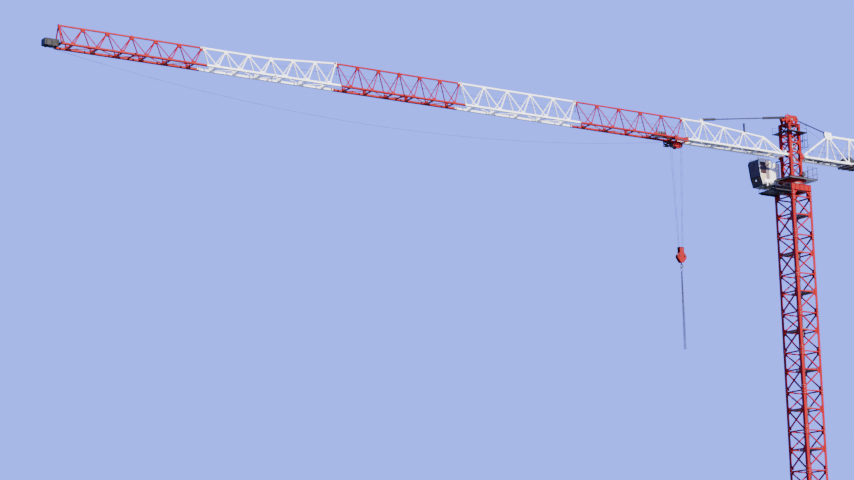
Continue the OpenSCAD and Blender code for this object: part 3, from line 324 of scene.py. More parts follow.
    def done(self, name, *mats, body="superstructure", ride=True):
        """Makes the object, with outward faces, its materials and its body."""
        data = bpy.data.meshes.new(name)
        data.from_pydata([(x * MM, y * MM, z * MM) for x, y, z in self.verts], [], self.faces)
        data.polygons.foreach_set("material_index", self.mats)
        data.polygons.foreach_set("use_smooth", self.smooth)
        for m in mats:
            data.materials.append(m)
        data.update()
        bm = bmesh.new()
        bm.from_mesh(data)
        bmesh.ops.recalc_face_normals(bm, faces=bm.faces)
        bm.to_mesh(data)
        bm.free()
        obj = bpy.data.objects.new(name, data)
        bpy.context.scene.collection.objects.link(obj)
        if ride:
            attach(obj, body)
        return obj


# Materials


class Nodes:
    """Short calls to build a node tree on object coordinates."""

    def __init__(self, name):
        self.mat = bpy.data.materials.new(name)
        self.mat.use_nodes = True
        self.tree = self.mat.node_tree
        self.shader = self.tree.nodes["Principled BSDF"]
        self.coords = self.tree.nodes.new("ShaderNodeTexCoord").outputs["Object"]

    def link(self, a, b):
        self.tree.links.new(a, b)

    def node(self, kind, **values):
        """New node with the given values in its inputs."""
        node = self.tree.nodes.new("ShaderNode" + kind)
        for name, value in values.items():
            node.inputs[name].default_value = value
        return node

    def scaled(self, x, y, z):
        node = self.node("Mapping", Scale=(x, y, z))
        self.link(self.coords, node.inputs["Vector"])
        return node.outputs["Vector"]

    def noise(self, scale, detail=3.0, rough=0.55, vector=None):
        node = self.node("TexNoise", Scale=scale, Detail=detail, Roughness=rough)
        self.link(vector or self.coords, node.inputs["Vector"])
        return node.outputs[0]

    def ramp(self, value, *stops):
        """Grey or coloured ramp: stops are (place, colour)."""
        node = self.node("ValToRGB")
        ramp = node.color_ramp
        while len(ramp.elements) < len(stops):
            ramp.elements.new(0.5)
        for element, (at, colour) in zip(ramp.elements, stops):
            element.position = at
            element.color = (*colour, 1) if hasattr(colour, "__len__") else (colour, colour, colour, 1)
        self.link(value, node.inputs["Fac"])
        return node.outputs["Color"]

    def mix(self, share, a, b):
        """Colour mix of a and b, each an output or a colour."""
        node = self.node("Mix")
        node.data_type = "RGBA"
        for value, socket in ((share, node.inputs[0]), (a, node.inputs[6]), (b, node.inputs[7])):
            if hasattr(value, "is_output"):
                self.link(value, socket)
            else:
                socket.default_value = (*value, 1) if hasattr(value, "__len__") else value
        return node.outputs[2]

    def inside(self, low, high):
        """1 inside a box of the part's own millimetres and 0 outside it."""
        split = self.node("SeparateXYZ")
        self.link(self.coords, split.inputs[0])
        share = None
        for axis in range(3):
            for limit, test in ((low[axis], "GREATER_THAN"), (high[axis], "LESS_THAN")):
                node = self.node("Math")
                node.operation = test
                self.link(split.outputs[axis], node.inputs[0])
                node.inputs[1].default_value = limit * MM
                if share is None:
                    share = node.outputs[0]
                    continue
                both = self.node("Math")
                both.operation = "MULTIPLY"
                self.link(share, both.inputs[0])
                self.link(node.outputs[0], both.inputs[1])
                share = both.outputs[0]
        return share

    def finish(self, colour, rough, metal=0.0, bump=None, strength=0.2, distance=0.002, coat=0.0):
        """Wires colour, roughness and bump into the shader."""
        self.link(colour, self.shader.inputs["Base Color"])
        self.link(rough, self.shader.inputs["Roughness"])
        self.shader.inputs["Metallic"].default_value = metal
        self.shader.inputs["Coat Weight"].default_value = coat
        if bump is not None:
            node = self.node("Bump", Strength=strength, Distance=distance)
            self.link(bump, node.inputs["Height"])
            self.link(node.outputs["Normal"], self.shader.inputs["Normal"])
        return self.mat


def paint(name, colour, faded, grime, rust=(0.13, 0.045, 0.02), gloss=0.36, shine=0.5, zones=()):
    """Weathered machine paint: broad fading, rain streaks, chips down to rust and an orange-peel skin.

    A zone is a box of the part painted in another colour: its low and high corners and the colour. The zones
    used here are painted shade.
    """
    n = Nodes(name)
    n.shader.inputs["Specular IOR Level"].default_value = shine
    body = n.mix(n.ramp(n.noise(0.9, 4), (0.35, 0.0), (0.68, 1.0)), colour, faded)
    for low, high, tint in zones:
        body = n.mix(n.inside(low, high), body, tint)
    streaks = n.ramp(n.noise(1.0, 5, 0.65, n.scaled(16, 16, 1.1)), (0.52, 0.0), (0.78, 0.55))
    body = n.mix(streaks, body, grime)
    chips = n.ramp(n.noise(38, 6, 0.7), (0.66, 0.0), (0.72, 1.0))
    body = n.mix(chips, body, rust)
    rough = n.ramp(n.noise(7, 4), (0.3, gloss), (0.75, gloss + 0.28))
    return n.finish(body, rough, bump=n.mix(0.35, n.noise(55, 3), chips), strength=0.25)


def metal(name, dark, light, rust=0.25, gloss=0.42):
    """Bare or zinc-coated metal with spangle, stains and a fine grain."""
    n = Nodes(name)
    body = n.mix(n.ramp(n.noise(9, 5, 0.6), (0.3, 0.0), (0.7, 1.0)), dark, light)
    stain = n.ramp(n.noise(3.1, 6, 0.7), (0.55, 0.0), (0.75, rust))
    body = n.mix(stain, body, (0.16, 0.07, 0.035))
    rough = n.ramp(n.noise(21, 4), (0.25, gloss - 0.1), (0.8, gloss + 0.22))
    return n.finish(body, rough, metal=0.75, bump=n.noise(60, 4), strength=0.2, distance=0.0015)


def rope_lay(name, dark, light):
    """Wire rope: strands as slanted bands along the rope, with grease in the grooves."""
    n = Nodes(name)
    node = n.node("TexWave", Scale=34, Distortion=0.6)
    node.bands_direction = "DIAGONAL"
    n.link(n.coords, node.inputs["Vector"])
    bands = node.outputs["Color"]
    body = n.mix(bands, dark, light)
    body = n.mix(n.ramp(n.noise(4, 4), (0.5, 0.0), (0.75, 0.6)), body, (0.03, 0.024, 0.02))
    rough = n.ramp(bands, (0.0, 0.62), (1.0, 0.4))
    return n.finish(body, rough, metal=0.7, bump=bands, strength=0.7, distance=0.0012)


def cab_glass(name):
    """Bronze tinted glass seen from outside: dark, glossy, with a dusty film."""
    n = Nodes(name)
    film = n.ramp(n.noise(2.6, 5, 0.6), (0.42, 0.0), (0.85, 0.35))
    body = n.mix(film, (0.026, 0.011, 0.008), (0.085, 0.042, 0.028))
    rough = n.ramp(film, (0.0, 0.10), (1.0, 0.32))
    n.shader.inputs["Specular IOR Level"].default_value = 0.22
    return n.finish(body, rough, bump=n.noise(14, 2), strength=0.03)


def concrete(name):
    """Cast concrete: grey with pores, formwork bands and damp stains."""
    n = Nodes(name)
    cloud = n.ramp(n.noise(2.2, 6, 0.6), (0.3, 0.0), (0.7, 1.0))
    body = n.mix(cloud, (0.21, 0.20, 0.185), (0.32, 0.31, 0.285))
    bands = n.ramp(n.noise(1, 3, 0.5, n.scaled(1.2, 1.2, 7)), (0.45, 0.0), (0.7, 0.35))
    body = n.mix(bands, body, (0.155, 0.15, 0.135))
    pores = n.ramp(n.noise(70, 3), (0.30, 1.0), (0.36, 0.0))
    body = n.mix(pores, body, (0.12, 0.115, 0.105))
    rough = n.ramp(n.noise(12, 4), (0.3, 0.8), (0.7, 0.95))
    return n.finish(body, rough, bump=n.mix(0.5, n.noise(26, 6, 0.7), pores), strength=0.5, distance=0.004)


def lamp_glass(name, colour):
    """Ribbed lamp lens."""
    n = Nodes(name)
    ribs = n.noise(90, 2, 0.5, n.scaled(0.2, 0.2, 3))
    light_side = tuple(min(1, c * 1.5 + 0.05) for c in colour)
    body = n.mix(n.ramp(ribs, (0.4, 0.0), (0.6, 1.0)), colour, light_side)
    rough = n.ramp(ribs, (0.3, 0.08), (0.7, 0.2))
    return n.finish(body, rough, bump=ribs, strength=0.4, coat=0.8)


# Near black used as painted shade: the landing and the cab's underside are painted with it where they lie in
# shade.
PAINTED_SHADE_BLACK = (0.012, 0.012, 0.016)
RED_TONES = ((0.165, 0.0010, 0.0012), (0.20, 0.003, 0.002), (0.055, 0.003, 0.004), (0.05, 0.014, 0.008),
             0.42, 0.10)
WHITE_TONES = ((0.74, 0.73, 0.72), (0.66, 0.65, 0.62), (0.40, 0.36, 0.31), (0.12, 0.04, 0.02), 0.42, 0.3)
# Painted shade: the mast collar's landing, beyond the mast on the +X side, is painted near black because it
# lies in shade.
LANDING_PAINTED_SHADE = ((515, -600, 18000), (1400, 600, 18700), PAINTED_SHADE_BLACK)
# Painted shade: the cab body's underside and lowest band are painted near black where shade falls under the
# cab.
CAB_UNDERSIDE_PAINTED_SHADE = ((500, -1100, 18600), (1300, -300, 18632), PAINTED_SHADE_BLACK)
RED = paint("red_paint", *RED_TONES)
# Collar red with its landing painted near black as painted shade.
COLLAR_RED_PAINTED_SHADE = paint("red_paint_landing_painted_shade", *RED_TONES, zones=[LANDING_PAINTED_SHADE])
WHITE = paint("white_paint", *WHITE_TONES)
# Cab white with its underside painted near black as painted shade.
CAB_WHITE_PAINTED_SHADE = paint("white_paint_cab_painted_shade", *WHITE_TONES, zones=[CAB_UNDERSIDE_PAINTED_SHADE])
CREAM = paint("cream_panel", (0.42, 0.34, 0.19), (0.38, 0.31, 0.17), (0.26, 0.20, 0.13), gloss=0.5, shine=0.2)
MAUVE = paint("mauve_panel", (0.085, 0.06, 0.08), (0.11, 0.085, 0.10), (0.05, 0.04, 0.045), gloss=0.5,
              shine=0.2)
DARK = paint("dark_paint", (0.008, 0.008, 0.011), (0.014, 0.014, 0.016), (0.026, 0.021, 0.019),
             (0.04, 0.016, 0.008), 0.5, 0.15)
ZINC = metal("galvanised", (0.17, 0.175, 0.185), (0.28, 0.285, 0.29))
# Painted shade: near-black maroon for the red frame and the sheet under the counter-jib's grating, which lie
# in shade.
DECK_FRAME_PAINTED_SHADE = paint("red_frame_painted_shade", (0.030, 0.007, 0.008), (0.040, 0.012, 0.012), (0.02, 0.015, 0.014))
DULL_ZINC = metal("dull_zinc", (0.07, 0.07, 0.078), (0.13, 0.13, 0.135))
STEEL = metal("dark_steel", (0.035, 0.035, 0.038), (0.085, 0.085, 0.088), rust=0.35)
BRIGHT = metal("worn_steel", (0.25, 0.25, 0.25), (0.40, 0.39, 0.38), rust=0.2, gloss=0.3)
ROPE = rope_lay("rope_steel", (0.016, 0.016, 0.018), (0.075, 0.073, 0.072))
CHAIN = metal("chain_steel", (0.035, 0.035, 0.04), (0.10, 0.095, 0.095), rust=0.5)
GLASS = cab_glass("cab_glass")
CONCRETE = concrete("concrete")
RUBBER = paint("black_rubber", (0.014, 0.014, 0.015), (0.026, 0.025, 0.025), (0.045, 0.04, 0.038), gloss=0.62,
               shine=0.2)
LAMP_RED = lamp_glass("red_lamp", (0.45, 0.01, 0.01))
LAMP_CLEAR = lamp_glass("clear_lamp", (0.55, 0.55, 0.52))


# Base and mast


def base_details():
    """Anchor studs with nuts, ribs beside the beams and shoe stiffeners."""
    foot_at, anchor_off, foot_t, beam_w = 1270, 110, 30, 150
    leg_at = MAST_W / 2 - LEG_W / 2
    bolts, ribs = Mesh(), Mesh()
    for sx, sy in CORNERS:
        for off in (-anchor_off, anchor_off):
            x, y = sx * (foot_at + off), sy * (foot_at - off)
            bolts.pad(x, y, 38, 38, foot_t, foot_t + 7, 0, 2)
            bolts.hex_bolt((x, y, foot_t + 7), UP, 36, 18)
            bolts.rod((x, y, foot_t + 25), (x, y, foot_t + 62), 11, 12, 0, 3)
        out = Vector((sx, sy, 0)).normalized()
        side = Vector((-out.y, out.x, 0))
        for s in SIDES:
            bolts.hex_bolt((sx * (leg_at + s * 96), sy * (leg_at - s * 96), BASE_H), UP, 26, 13)
            for at, reaches, z, wide, tall in ((foot_at, (-130, 40), foot_t, 62, 85),
                                               (leg_at, (-70, 70), BASE_H - 30, 48, -85)):
                for reach in reaches:
                    p = Vector((sx * at, sy * at, z)) + out * reach + side * s * beam_w / 2
                    ribs.plate([p, p + side * s * wide, p + Vector((0, 0, tall))], out, 12)
    ribs.pad(0, 0, 150, 150, BASE_H - 30, BASE_H - 14, 0, 3)
    bolts.done("base_anchor_bolts", ZINC, body="tower")
    ribs.done("base_ribs", RED, body="tower")


def mast_bolts():
    """Bolts of the fishplates: two columns of four on each plate."""
    face = Mesh()
    for s in SIDES:
        for dx in (-24, 24):
            for dz in (-150, -70, 70, 150):
                face.hex_bolt((s * (MAST_W / 2 - LEG_W / 2 + dx), MAST_W / 2 + FISH_T, dz), Y_AXIS, 19, 9)
    for k in range(1, SECTIONS + 1):
        joint = Mesh()
        joint.four(face, (0, 0, BASE_H + k * SECTION_H))
        joint.done(f"mast_joint_bolts_{k:02d}", ZINC, body="tower")


def mast_gussets():
    """Plates where the bracing meets the legs, and a light bar across each section's top."""
    y = MAST_W / 2 - LEG_T - 5
    x = MAST_W / 2 - LEG_W + 8
    mid, inner, top = SECTION_MID, MAST_W / 2 - LEG_W / 2 - 26, SECTION_H - 40
    face = Mesh()
    face.upright(y, [(-x, mid - 150), (90 - x, mid - 70), (120 - x, mid), (90 - x, mid + 70), (-x, mid + 150),
                     (-x - 60, mid + 150), (-x - 60, mid - 150)], 9)
    for at, up in ((45, 1), (SECTION_H - 60, -1)):
        face.upright(y, [(x + 60, at - 38), (x + 60, at + up * 150), (x, at + up * 130),
                         (x - 95, at + up * 45), (x - 95, at - up * 30)], 9)
    section = Mesh()
    section.four(face)
    section.bar((-inner, -inner, top), (inner, inner, top), 30)
    for k in range(SECTIONS):
        part = Mesh()
        part.place(section, at=(0, 0, BASE_H + k * SECTION_H))
        part.done(f"mast_gussets_{k + 1:02d}", RED, body="tower")


def mast_access_details():
    """Stringer clips of the ladder and non-slip bars on the rest platforms."""
    clips, treads = Mesh(), Mesh()
    for s in SIDES:
        for z in np.arange(BASE_H + 500, MAST_TOP + 100, SECTION_H / 2):
            clips.pad(0, s * LADDER_X, 20, 22, z, z + 34, 0, 3)
            clips.hex_bolt((20, s * LADDER_X, z + 17), X_AXIS, 13, 6)
    clips.done("ladder_clips", ZINC, body="tower")
    reach = MAST_W / 2 - LEG_T - 62
    for k in range(SECTIONS):
        z = BASE_H + k * SECTION_H + SECTION_MID + 40
        side = 1 if k % 2 == 0 else -1
        for i in range(8):
            treads.pad(side * (42 + i * 37), 0, 4, reach, z, z + 5, 0, 1.5)
        for s in SIDES:
            treads.pad(side * 175, s * (reach - 10), 155, 5, z, z + 34, 0, 2)
    treads.done("rest_platform_treads", DULL_ZINC, body="tower")


# Slewing support


def ring_of_bolts(part, radius, z, count, out, across, height):
    """Bolts on a circle about the mast axis."""
    for x, y in around(count, radius, math.pi / count):
        part.hex_bolt((x, y, z), out, across, height)


def railing(part, posts, z, height, post=9, toe=0):
    """Round posts with top and knee rails and, where toe is given, a toe board along a path."""
    rail = post - 1
    for x, y in posts:
        part.rod((x, y, z), (x, y, z + height), post, 10)
        part.pad(x, y, 20, 20, z, z + 7, 0, 2)
        part.lathe([(rail * 0.7, -rail), (post * 1.25, 0), (rail * 0.7, rail)], (x, y, z + height), UP, 10)
    for (xa, ya), (xb, yb) in zip(posts, posts[1:]):
        for f in (0.52, 1):
            part.rod((xa, ya, z + f * height), (xb, yb, z + f * height), rail, 10)
        if toe:
            part.bar((xa, ya, z + toe / 2 + 4), (xb, yb, z + toe / 2 + 4), toe, 4)


def collar_details():
    """Ribs and corner gussets of the ring beam, bolts of the slewing ring, landing rails and grating bars."""
    half = COLLAR_W / 2
    face = Mesh()
    for x in (-330, -110, 110, 330):
        face.box((x - 6, half, COLLAR_Z + 12), (x + 6, half + 16, COLLAR_TOP - 12), 0, 2)
    for z in (COLLAR_TOP - 18, COLLAR_Z + 4):
        face.box((70 - half, half, z), (half - 70, half + 18, z + 14), 0, 2)
    post = MAST_W / 2 - LEG_W - 30
    for s in SIDES:
        gusset = [(s * post, COLLAR_Z), (s * (post - 150), COLLAR_Z), (s * post, COLLAR_Z - 150)]
        face.upright(half - 34, gusset, 14)
    ribs = Mesh()
    ribs.four(face)
    ribs.done("collar_ribs", RED, body="tower")
    bolts = Mesh()
    for x, y in around(4, 460, math.pi / 4):
        bolts.pad(x, y, 26, 26, COLLAR_TOP, COLLAR_TOP + 44, 0, 6)
    ring_of_bolts(bolts, RING_R - 95, COLLAR_TOP - 40, 36, (0, 0, -1), 24, 14)
    bolts.done("slewing_ring_bolts", ZINC, body="tower")
    rails, deck = Mesh(), Mesh()
    z0 = MAST_TOP + 130
    x_near, x_far, y_far = MAST_W / 2 + 60, MAST_W / 2 + LANDING_L - 16, MAST_W / 2 - 16
    x_mid = (MAST_W / 2 + x_far) / 2
    posts = [(x_near, y_far), (x_mid, y_far), (x_far, y_far), (x_far, 0), (x_far, -y_far), (x_mid, -y_far),
             (x_near, -y_far)]
    railing(rails, posts, z0, 295, toe=30)
    rails.done("landing_rails", DARK, body="tower")
    for y in np.arange(30 - y_far, y_far - 20, 42):
        deck.box((MAST_W / 2 + 24, y - 3, z0), (x_far - 14, y + 3, z0 + 6), 0, 1.5)
    deck.done("landing_grating", DULL_ZINC, body="tower")


def turntable_details():
    """Bolts on the upper race, gussets on the box frame, and the slewing drives' fins, caps and gearboxes."""
    bolts = Mesh()
    ring_of_bolts(bolts, RING_R - 22, TURN_Z, 44, UP, 17, 9)
    bolts.done("upper_race_bolts", ZINC)
    half, leg = TURN_W / 2, HEAD_W / 2
    face = Mesh()
    for x in (-250, -90, 90, 250):
        face.box((x - 6, half, TURN_Z + 90), (x + 6, half + 10, TURN_TOP - 8), 0, 2)
    face.box((12 - half, half, TURN_TOP - 14), (half - 12, half + 12, TURN_TOP - 2), 0, 2)
    for s in SIDES:
        face.upright(leg - 14, [(s * leg, TURN_TOP), (s * (leg - 210), TURN_TOP),
                                (s * (leg - HEAD_LEG), TURN_TOP + 190), (s * leg, TURN_TOP + 190)], 12)
    plates = Mesh()
    plates.four(face)
    plates.done("turntable_gussets", RED)
    drives = Mesh()
    z0 = TURN_Z + 80
    for x, y in ((-200, half + 75), (-half - 75, -150)):
        drives.lathe([(74, 0), (74, 26), (62, 30), (62, 60)], (x, y, z0), UP)
        for dx, dy in around(24, 64):
            drives.bar((x + dx, y + dy, z0 + 95), (x + dx, y + dy, z0 + 225), 10, 4)
        drives.lathe([(61.5, 0), (66, 3), (66, 34), (56, 52), (18, 58)], (x, y, z0 + 235), UP, 32)
        drives.box((x + 50, y - 34, z0 + 120), (x + 92, y + 34, z0 + 190), 0, 6)
        for dx, dy in around(8, 67, math.pi / 8):
            drives.hex_bolt((x + dx, y + dy, z0 + 26), UP, 10, 6)
    drives.done("slewing_drive_fins", STEEL)
    deck, edge = Mesh(), Mesh()
    for x in np.arange(-812, 590, 42):
        y0 = half + 14 if abs(x) <= half + 2 else 16 - half
        deck.box((x - 3, y0, z0), (x + 3, 546, z0 + 5), 0, 1.5)
    deck.done("service_deck_grating", ZINC)
    corners = ((-826, -374, z0 + 23), (-826, 556, z0 + 23), (596, 556, z0 + 23), (596, -374, z0 + 23))
    for a, b in zip(corners, corners[1:]):
        edge.bar(a, b, 44, 5)
    edge.done("service_deck_toe_boards", DARK)


# Tower head


def head_gussets():
    """Node plates of the head's lattice, stiffeners of the jib feet and of the head block."""
    plates = Mesh()
    leg = HEAD_W / 2
    for turn in range(4):
        face = Mesh()
        for z in (JIB_Z - 300, JIB_Z + 160, JIB_Z + 540, JIB_Z + 870)[2 * (turn % 2):]:
            for s in SIDES:
                x = s * (leg - HEAD_LEG)
                node = [(x, z - 95), (x - s * 70, z - 50), (x - s * 90, z), (x - s * 70, z + 50), (x, z + 95)]
                face.upright(leg - 16, node, 10)
        plates.place(face, quarter(turn))
    for s in SIDES:
        for side, w in ((1, JIB_W), (-1, COUNTER_W)):
            for up in SIDES:
                lug = [(side * (leg + x), JIB_Z + up * z) for x, z in ((0, 90), (60, 70), (0, 150))]
                plates.upright(s * w / 2, lug, 16)
        for x in (-200, 0, 200):
            rib = [(x, s * y, HEAD_TOP + z) for y, z in ((164, 30), (250, 30), (164, 170))]
            plates.plate(rib, X_AXIS, 14)
        for x in (-PIN_X, PIN_X):
            plates.lathe([(58, 0), (58, 8), (50, 12)], (x, s * 162, PIN_Z), (0, s, 0), 32)
    plates.done("head_gussets", RED)


def pin(part, centre, axis, r, half):
    """Round pin with a head, a collar and a split pin through its end."""
    c, n = Vector(centre), Vector(axis).normalized()
    for low, high, size, edge in ((-half, half, r, 0.15 * r), (-half - 0.5 * r, -half, 1.45 * r, 0.15 * r),
                                  (half - 0.9 * r, half - 0.45 * r, 1.35 * r, 0.1 * r)):
        part.rod(c + n * low, c + n * high, size, 20, 0, edge)
    cross = n.orthogonal().normalized() * r * 1.7
    end = c + n * (half - r * 0.2)
    part.rod(end - cross, end + cross, r * 0.16, 8)


def head_pins():
    """Pins of the jib feet and ties, the head sheave's rims, the guide sheave and the warning lamp."""
    steel = Mesh()
    for s in SIDES:
        pin(steel, (JIB_ROOT, s * JIB_W / 2, JIB_Z), (0, s, 0), 21, 62)
        pin(steel, (-JIB_ROOT, s * COUNTER_W / 2, JIB_Z), (0, s, 0), 21, 62)
    for x in (-PIN_X, PIN_X):
        pin(steel, (x, 0, PIN_Z), Y_AXIS, 21, 205)
    sheave_z = HEAD_TOP + BLOCK_H - 175
    pin(steel, (0, 0, sheave_z), Y_AXIS, 25, 190)
    steel.done("head_pins", BRIGHT)
    sheaves = Mesh()
    for x, z, r in ((0, sheave_z, 110), (GUIDE_X, JIB_Z + 38.3, 80)):
        for s in SIDES:
            sheaves.torus((x, ROPE_Y + s * 12, z), Y_AXIS, r, 8, 48)
            sheaves.spokes((x, ROPE_Y + s * 16, z), 32, r - 6, 5, 12, 6)
            sheaves.lathe([(36, 0), (36, 10), (30, 14)], (x, ROPE_Y + s * 15, z), (0, s, 0))
    sheaves.done("head_sheave_rims", STEEL)
    lamp = Mesh()
    x, y, z = 180, 150, HEAD_TOP + BLOCK_H + 47
    lamp.rod((x, y, z - 40), (x, y, z), 9, 12)
    lamp.lathe([(24, 0), (24, 5), (17, 8)], (x, y, z - 12), UP, 20)
    lamp.lathe([(15, 0), (17, 4), (17, 22), (12, 30), (3, 33)], (x, y, z - 3), UP, 20, 1)
    lamp.done("head_warning_lamp", DARK, LAMP_RED)


def head_ladder():
    """Ladder inside the head, the grating and rails of the upper platform and the cage beside it."""
    ladder = Mesh()
    y, z0, z1 = 215, TURN_TOP - 150, HEAD_DECK_Z
    for s in SIDES:
        ladder.rod((s * 95, y, z0), (s * 95, y, z1 + 250), 9, 10)
        for z in (TURN_TOP + 120, JIB_Z - 300, JIB_Z + 160, JIB_Z + 540):
            ladder.bar((s * 95, y, z), (s * 95, HEAD_W / 2 - 40, z), 22, 6)
    for z in np.arange(z0 + 60, z1, 140):
        ladder.rod((-95, y, z), (95, y, z), 6, 8)
    ladder.done("head_ladder", ZINC)
    deck = Mesh()
    z = HEAD_DECK_Z + 24
    r, inner = 480, HEAD_W / 2
    for y in range(-468, 469, 39):
        spans = [(8 - r, r - 8)] if abs(y) > inner + 4 else [(8 - r, -inner - 2), (inner + 2, r - 8)]
        for x0, x1 in spans:
            deck.box((x0, y - 3, z), (x1, y + 3, z + 5), 0, 1.5)
    deck.done("upper_platform_grating", ZINC)
    rails = Mesh()
    edge = r - 14
    for s in SIDES:
        railing(rails, [(-edge, s * edge), (0, s * edge), (edge, s * edge)], z, 260, post=7)
    rails.done("upper_platform_rails", DARK)
    cage = Mesh()
    wall = -HEAD_W / 2 - 6
    corners = ((wall, 470), (-470, 470), (-470, 300), (-470, 90))
    low, high = JIB_Z + 345, HEAD_DECK_Z
    for x, y in corners:
        cage.rod((x, y, low), (x, y, high), 10, 10)
    ring = ((wall, HEAD_W / 2 - 20), *corners)
    for z in (low, (low + high) / 2, high - 12):
        for (xa, ya), (xb, yb) in zip(ring, ring[1:]):
            cage.rod((xa, ya, z), (xb, yb, z), 9, 10)
    cage.done("head_cage", DARK)


# Cab


def cab_line(h):
    """X of the cab's front at height h above its floor."""
    low, mid, high = CAB_FRONT - CAB_LEAN, CAB_FRONT - CAB_LEAN * 0.45, CAB_FRONT
    if h <= CAB_KNEE:
        return low + (mid - low) * h / CAB_KNEE
    if h <= CAB_BROW:
        return mid + (high - mid) * (h - CAB_KNEE) / (CAB_BROW - CAB_KNEE)
    return high - 70 * (h - CAB_BROW) / (CAB_H - CAB_BROW)


def front(h, y, out=2):
    """Point before the cab's front at height h above its floor."""
    return (cab_line(h) + out, y, CAB_FLOOR + h)


def cab_windows():
    """Frames and bars of the side and front windows, and the mask round the front glass."""
    frames = Mesh()
    back, sill, half = CAB_BACK + 330, 0.42 * CAB_H, CAB_W / 2 - 45
    left, right = CAB_MID_Y - half, CAB_MID_Y + half
    for y, side in ((CAB_NEAR, 1), (CAB_FAR, -1)):
        ring = [(x, y + side * 2, CAB_FLOOR + h) for x, h in ((back, sill), (cab_line(sill) - 26, sill),
                                                              (CAB_FRONT - 62, CAB_BROW), (back, CAB_BROW))]
        for a, b in zip(ring, ring[1:] + ring[:1]):
            frames.bar(a, b, 16, 10)
        post = (back + 170, y + side)
        frames.bar((*post, CAB_FLOOR + sill), (*post, CAB_FLOOR + CAB_BROW), 12, 8)
    near, far = CAB_NEAR - 14, CAB_FAR + 2
    masks = [(0, CAB_SILL, near, far), (CAB_BROW, 0.97 * CAB_H, near, far)]
    for h0, h1 in ((CAB_SILL, CAB_KNEE), (CAB_KNEE, CAB_BROW)):
        masks += [(h0, h1, near, right), (h0, h1, left, far)]
        for y in (left, right):
            frames.bar(front(h0, y, 3), front(h1, y, 3), 18, 14)
        for h in (h0, h1):
            frames.bar(front(h, left, 3), front(h, right, 3), 16, 14)
    for y in (CAB_MID_Y - 92, CAB_MID_Y + 92):
        frames.bar(front(CAB_SILL, y), front(CAB_KNEE, y), 12, 10)
    frames.bar(front(0.56 * CAB_H, left), front(0.56 * CAB_H, right), 12, 10)
    for h0, h1, ya, yb in masks:
        frames.plate([front(h0, ya), front(h1, ya), front(h1, yb), front(h0, yb)], (1, 0, -0.3), 8)
    frames.done("cab_window_frames", RUBBER)

    wiper = Mesh()
    a, b = Vector(front(0.82 * CAB_H, CAB_MID_Y + 40, 14)), Vector(front(0.6 * CAB_H, CAB_MID_Y - 60, 14))
    wiper.rod(a, b, 4, 8)
    wiper.bar(b + Vector((-3, 70, 8)), b + Vector((-3, -80, -12)), 5, 9)
    wiper.box(a - Vector((12, 22, 12)), a + Vector((4, 22, 14)), 0, 4)
    wiper.done("cab_wiper", DARK)


def cab_sides():
    """Panels and vent ribs of the near side, and the door with its hinges and grab rails on the far side."""
    panels = Mesh()
    x0, low, knee, high = CAB_BACK + 336, CAB_FLOOR + 60, CAB_FLOOR + 0.26 * CAB_H, CAB_FLOOR + 0.39 * CAB_H
    toe = [(cab_line(80) - 40, low), (cab_line(0.2 * CAB_H) - 8, knee), (cab_line(0.38 * CAB_H) - 20, high)]
    panels.upright(CAB_NEAR + 3, [(x0, low), *toe, (x0, high)], 8)
    x0, x1, low, high = CAB_BACK + 150, CAB_BACK + 320, CAB_FLOOR + 40, CAB_TOP - 60
    panels.upright(CAB_NEAR + 3, [(x0, low), (x1, low), (x1, high), (x0, high)], 8, 1)
    for k in range(4):
        x = CAB_BACK + 22 + 32 * k
        panels.box((x, CAB_NEAR - 2, CAB_FLOOR + 50), (x + 18, CAB_NEAR + 10, CAB_TOP - 90), 2, 4)
    panels.done("cab_side_panels", CREAM, MAUVE, WHITE)

    door = Mesh()
    d0, d1, low, high = CAB_BACK + 60, CAB_BACK + 310, CAB_FLOOR + 50, CAB_TOP - 70
    ring = [(x, CAB_FAR - 2, z) for x, z in ((d0, low), (d1, low), (d1, high), (d0, high))]
    for a, b in zip(ring, ring[1:] + ring[:1]):
        door.bar(a, b, 9, 8, 1)
    door.box((d0 + 14, CAB_FAR - 5, low + 14), (d1 - 14, CAB_FAR + 2, high - 14), 0, 3)
    for x, out, z0, z1, inset, r in ((d1 - 50, 26, 430, 540, 0, 7), (d0 - 26, 34, 200, 760, 15, 8),
                                     (d1 + 24, 34, 200, 760, 15, 8)):
        y = CAB_FAR - out
        door.rod((x, y, CAB_FLOOR + z0), (x, y, CAB_FLOOR + z1), r, 12, 1, 2)
        for z in (CAB_FLOOR + z0 + inset, CAB_FLOOR + z1 - inset):
            door.rod((x, y, z), (x, CAB_FAR, z), r - 2, 8, 1)
    for z in (180, 520, 820):
        x, y = d0 - 4, CAB_FAR - 8
        door.rod((x, y, CAB_FLOOR + z - 22), (x, y, CAB_FLOOR + z + 22), 8, 12, 1, 2)
    door.done("cab_door", WHITE, DARK)


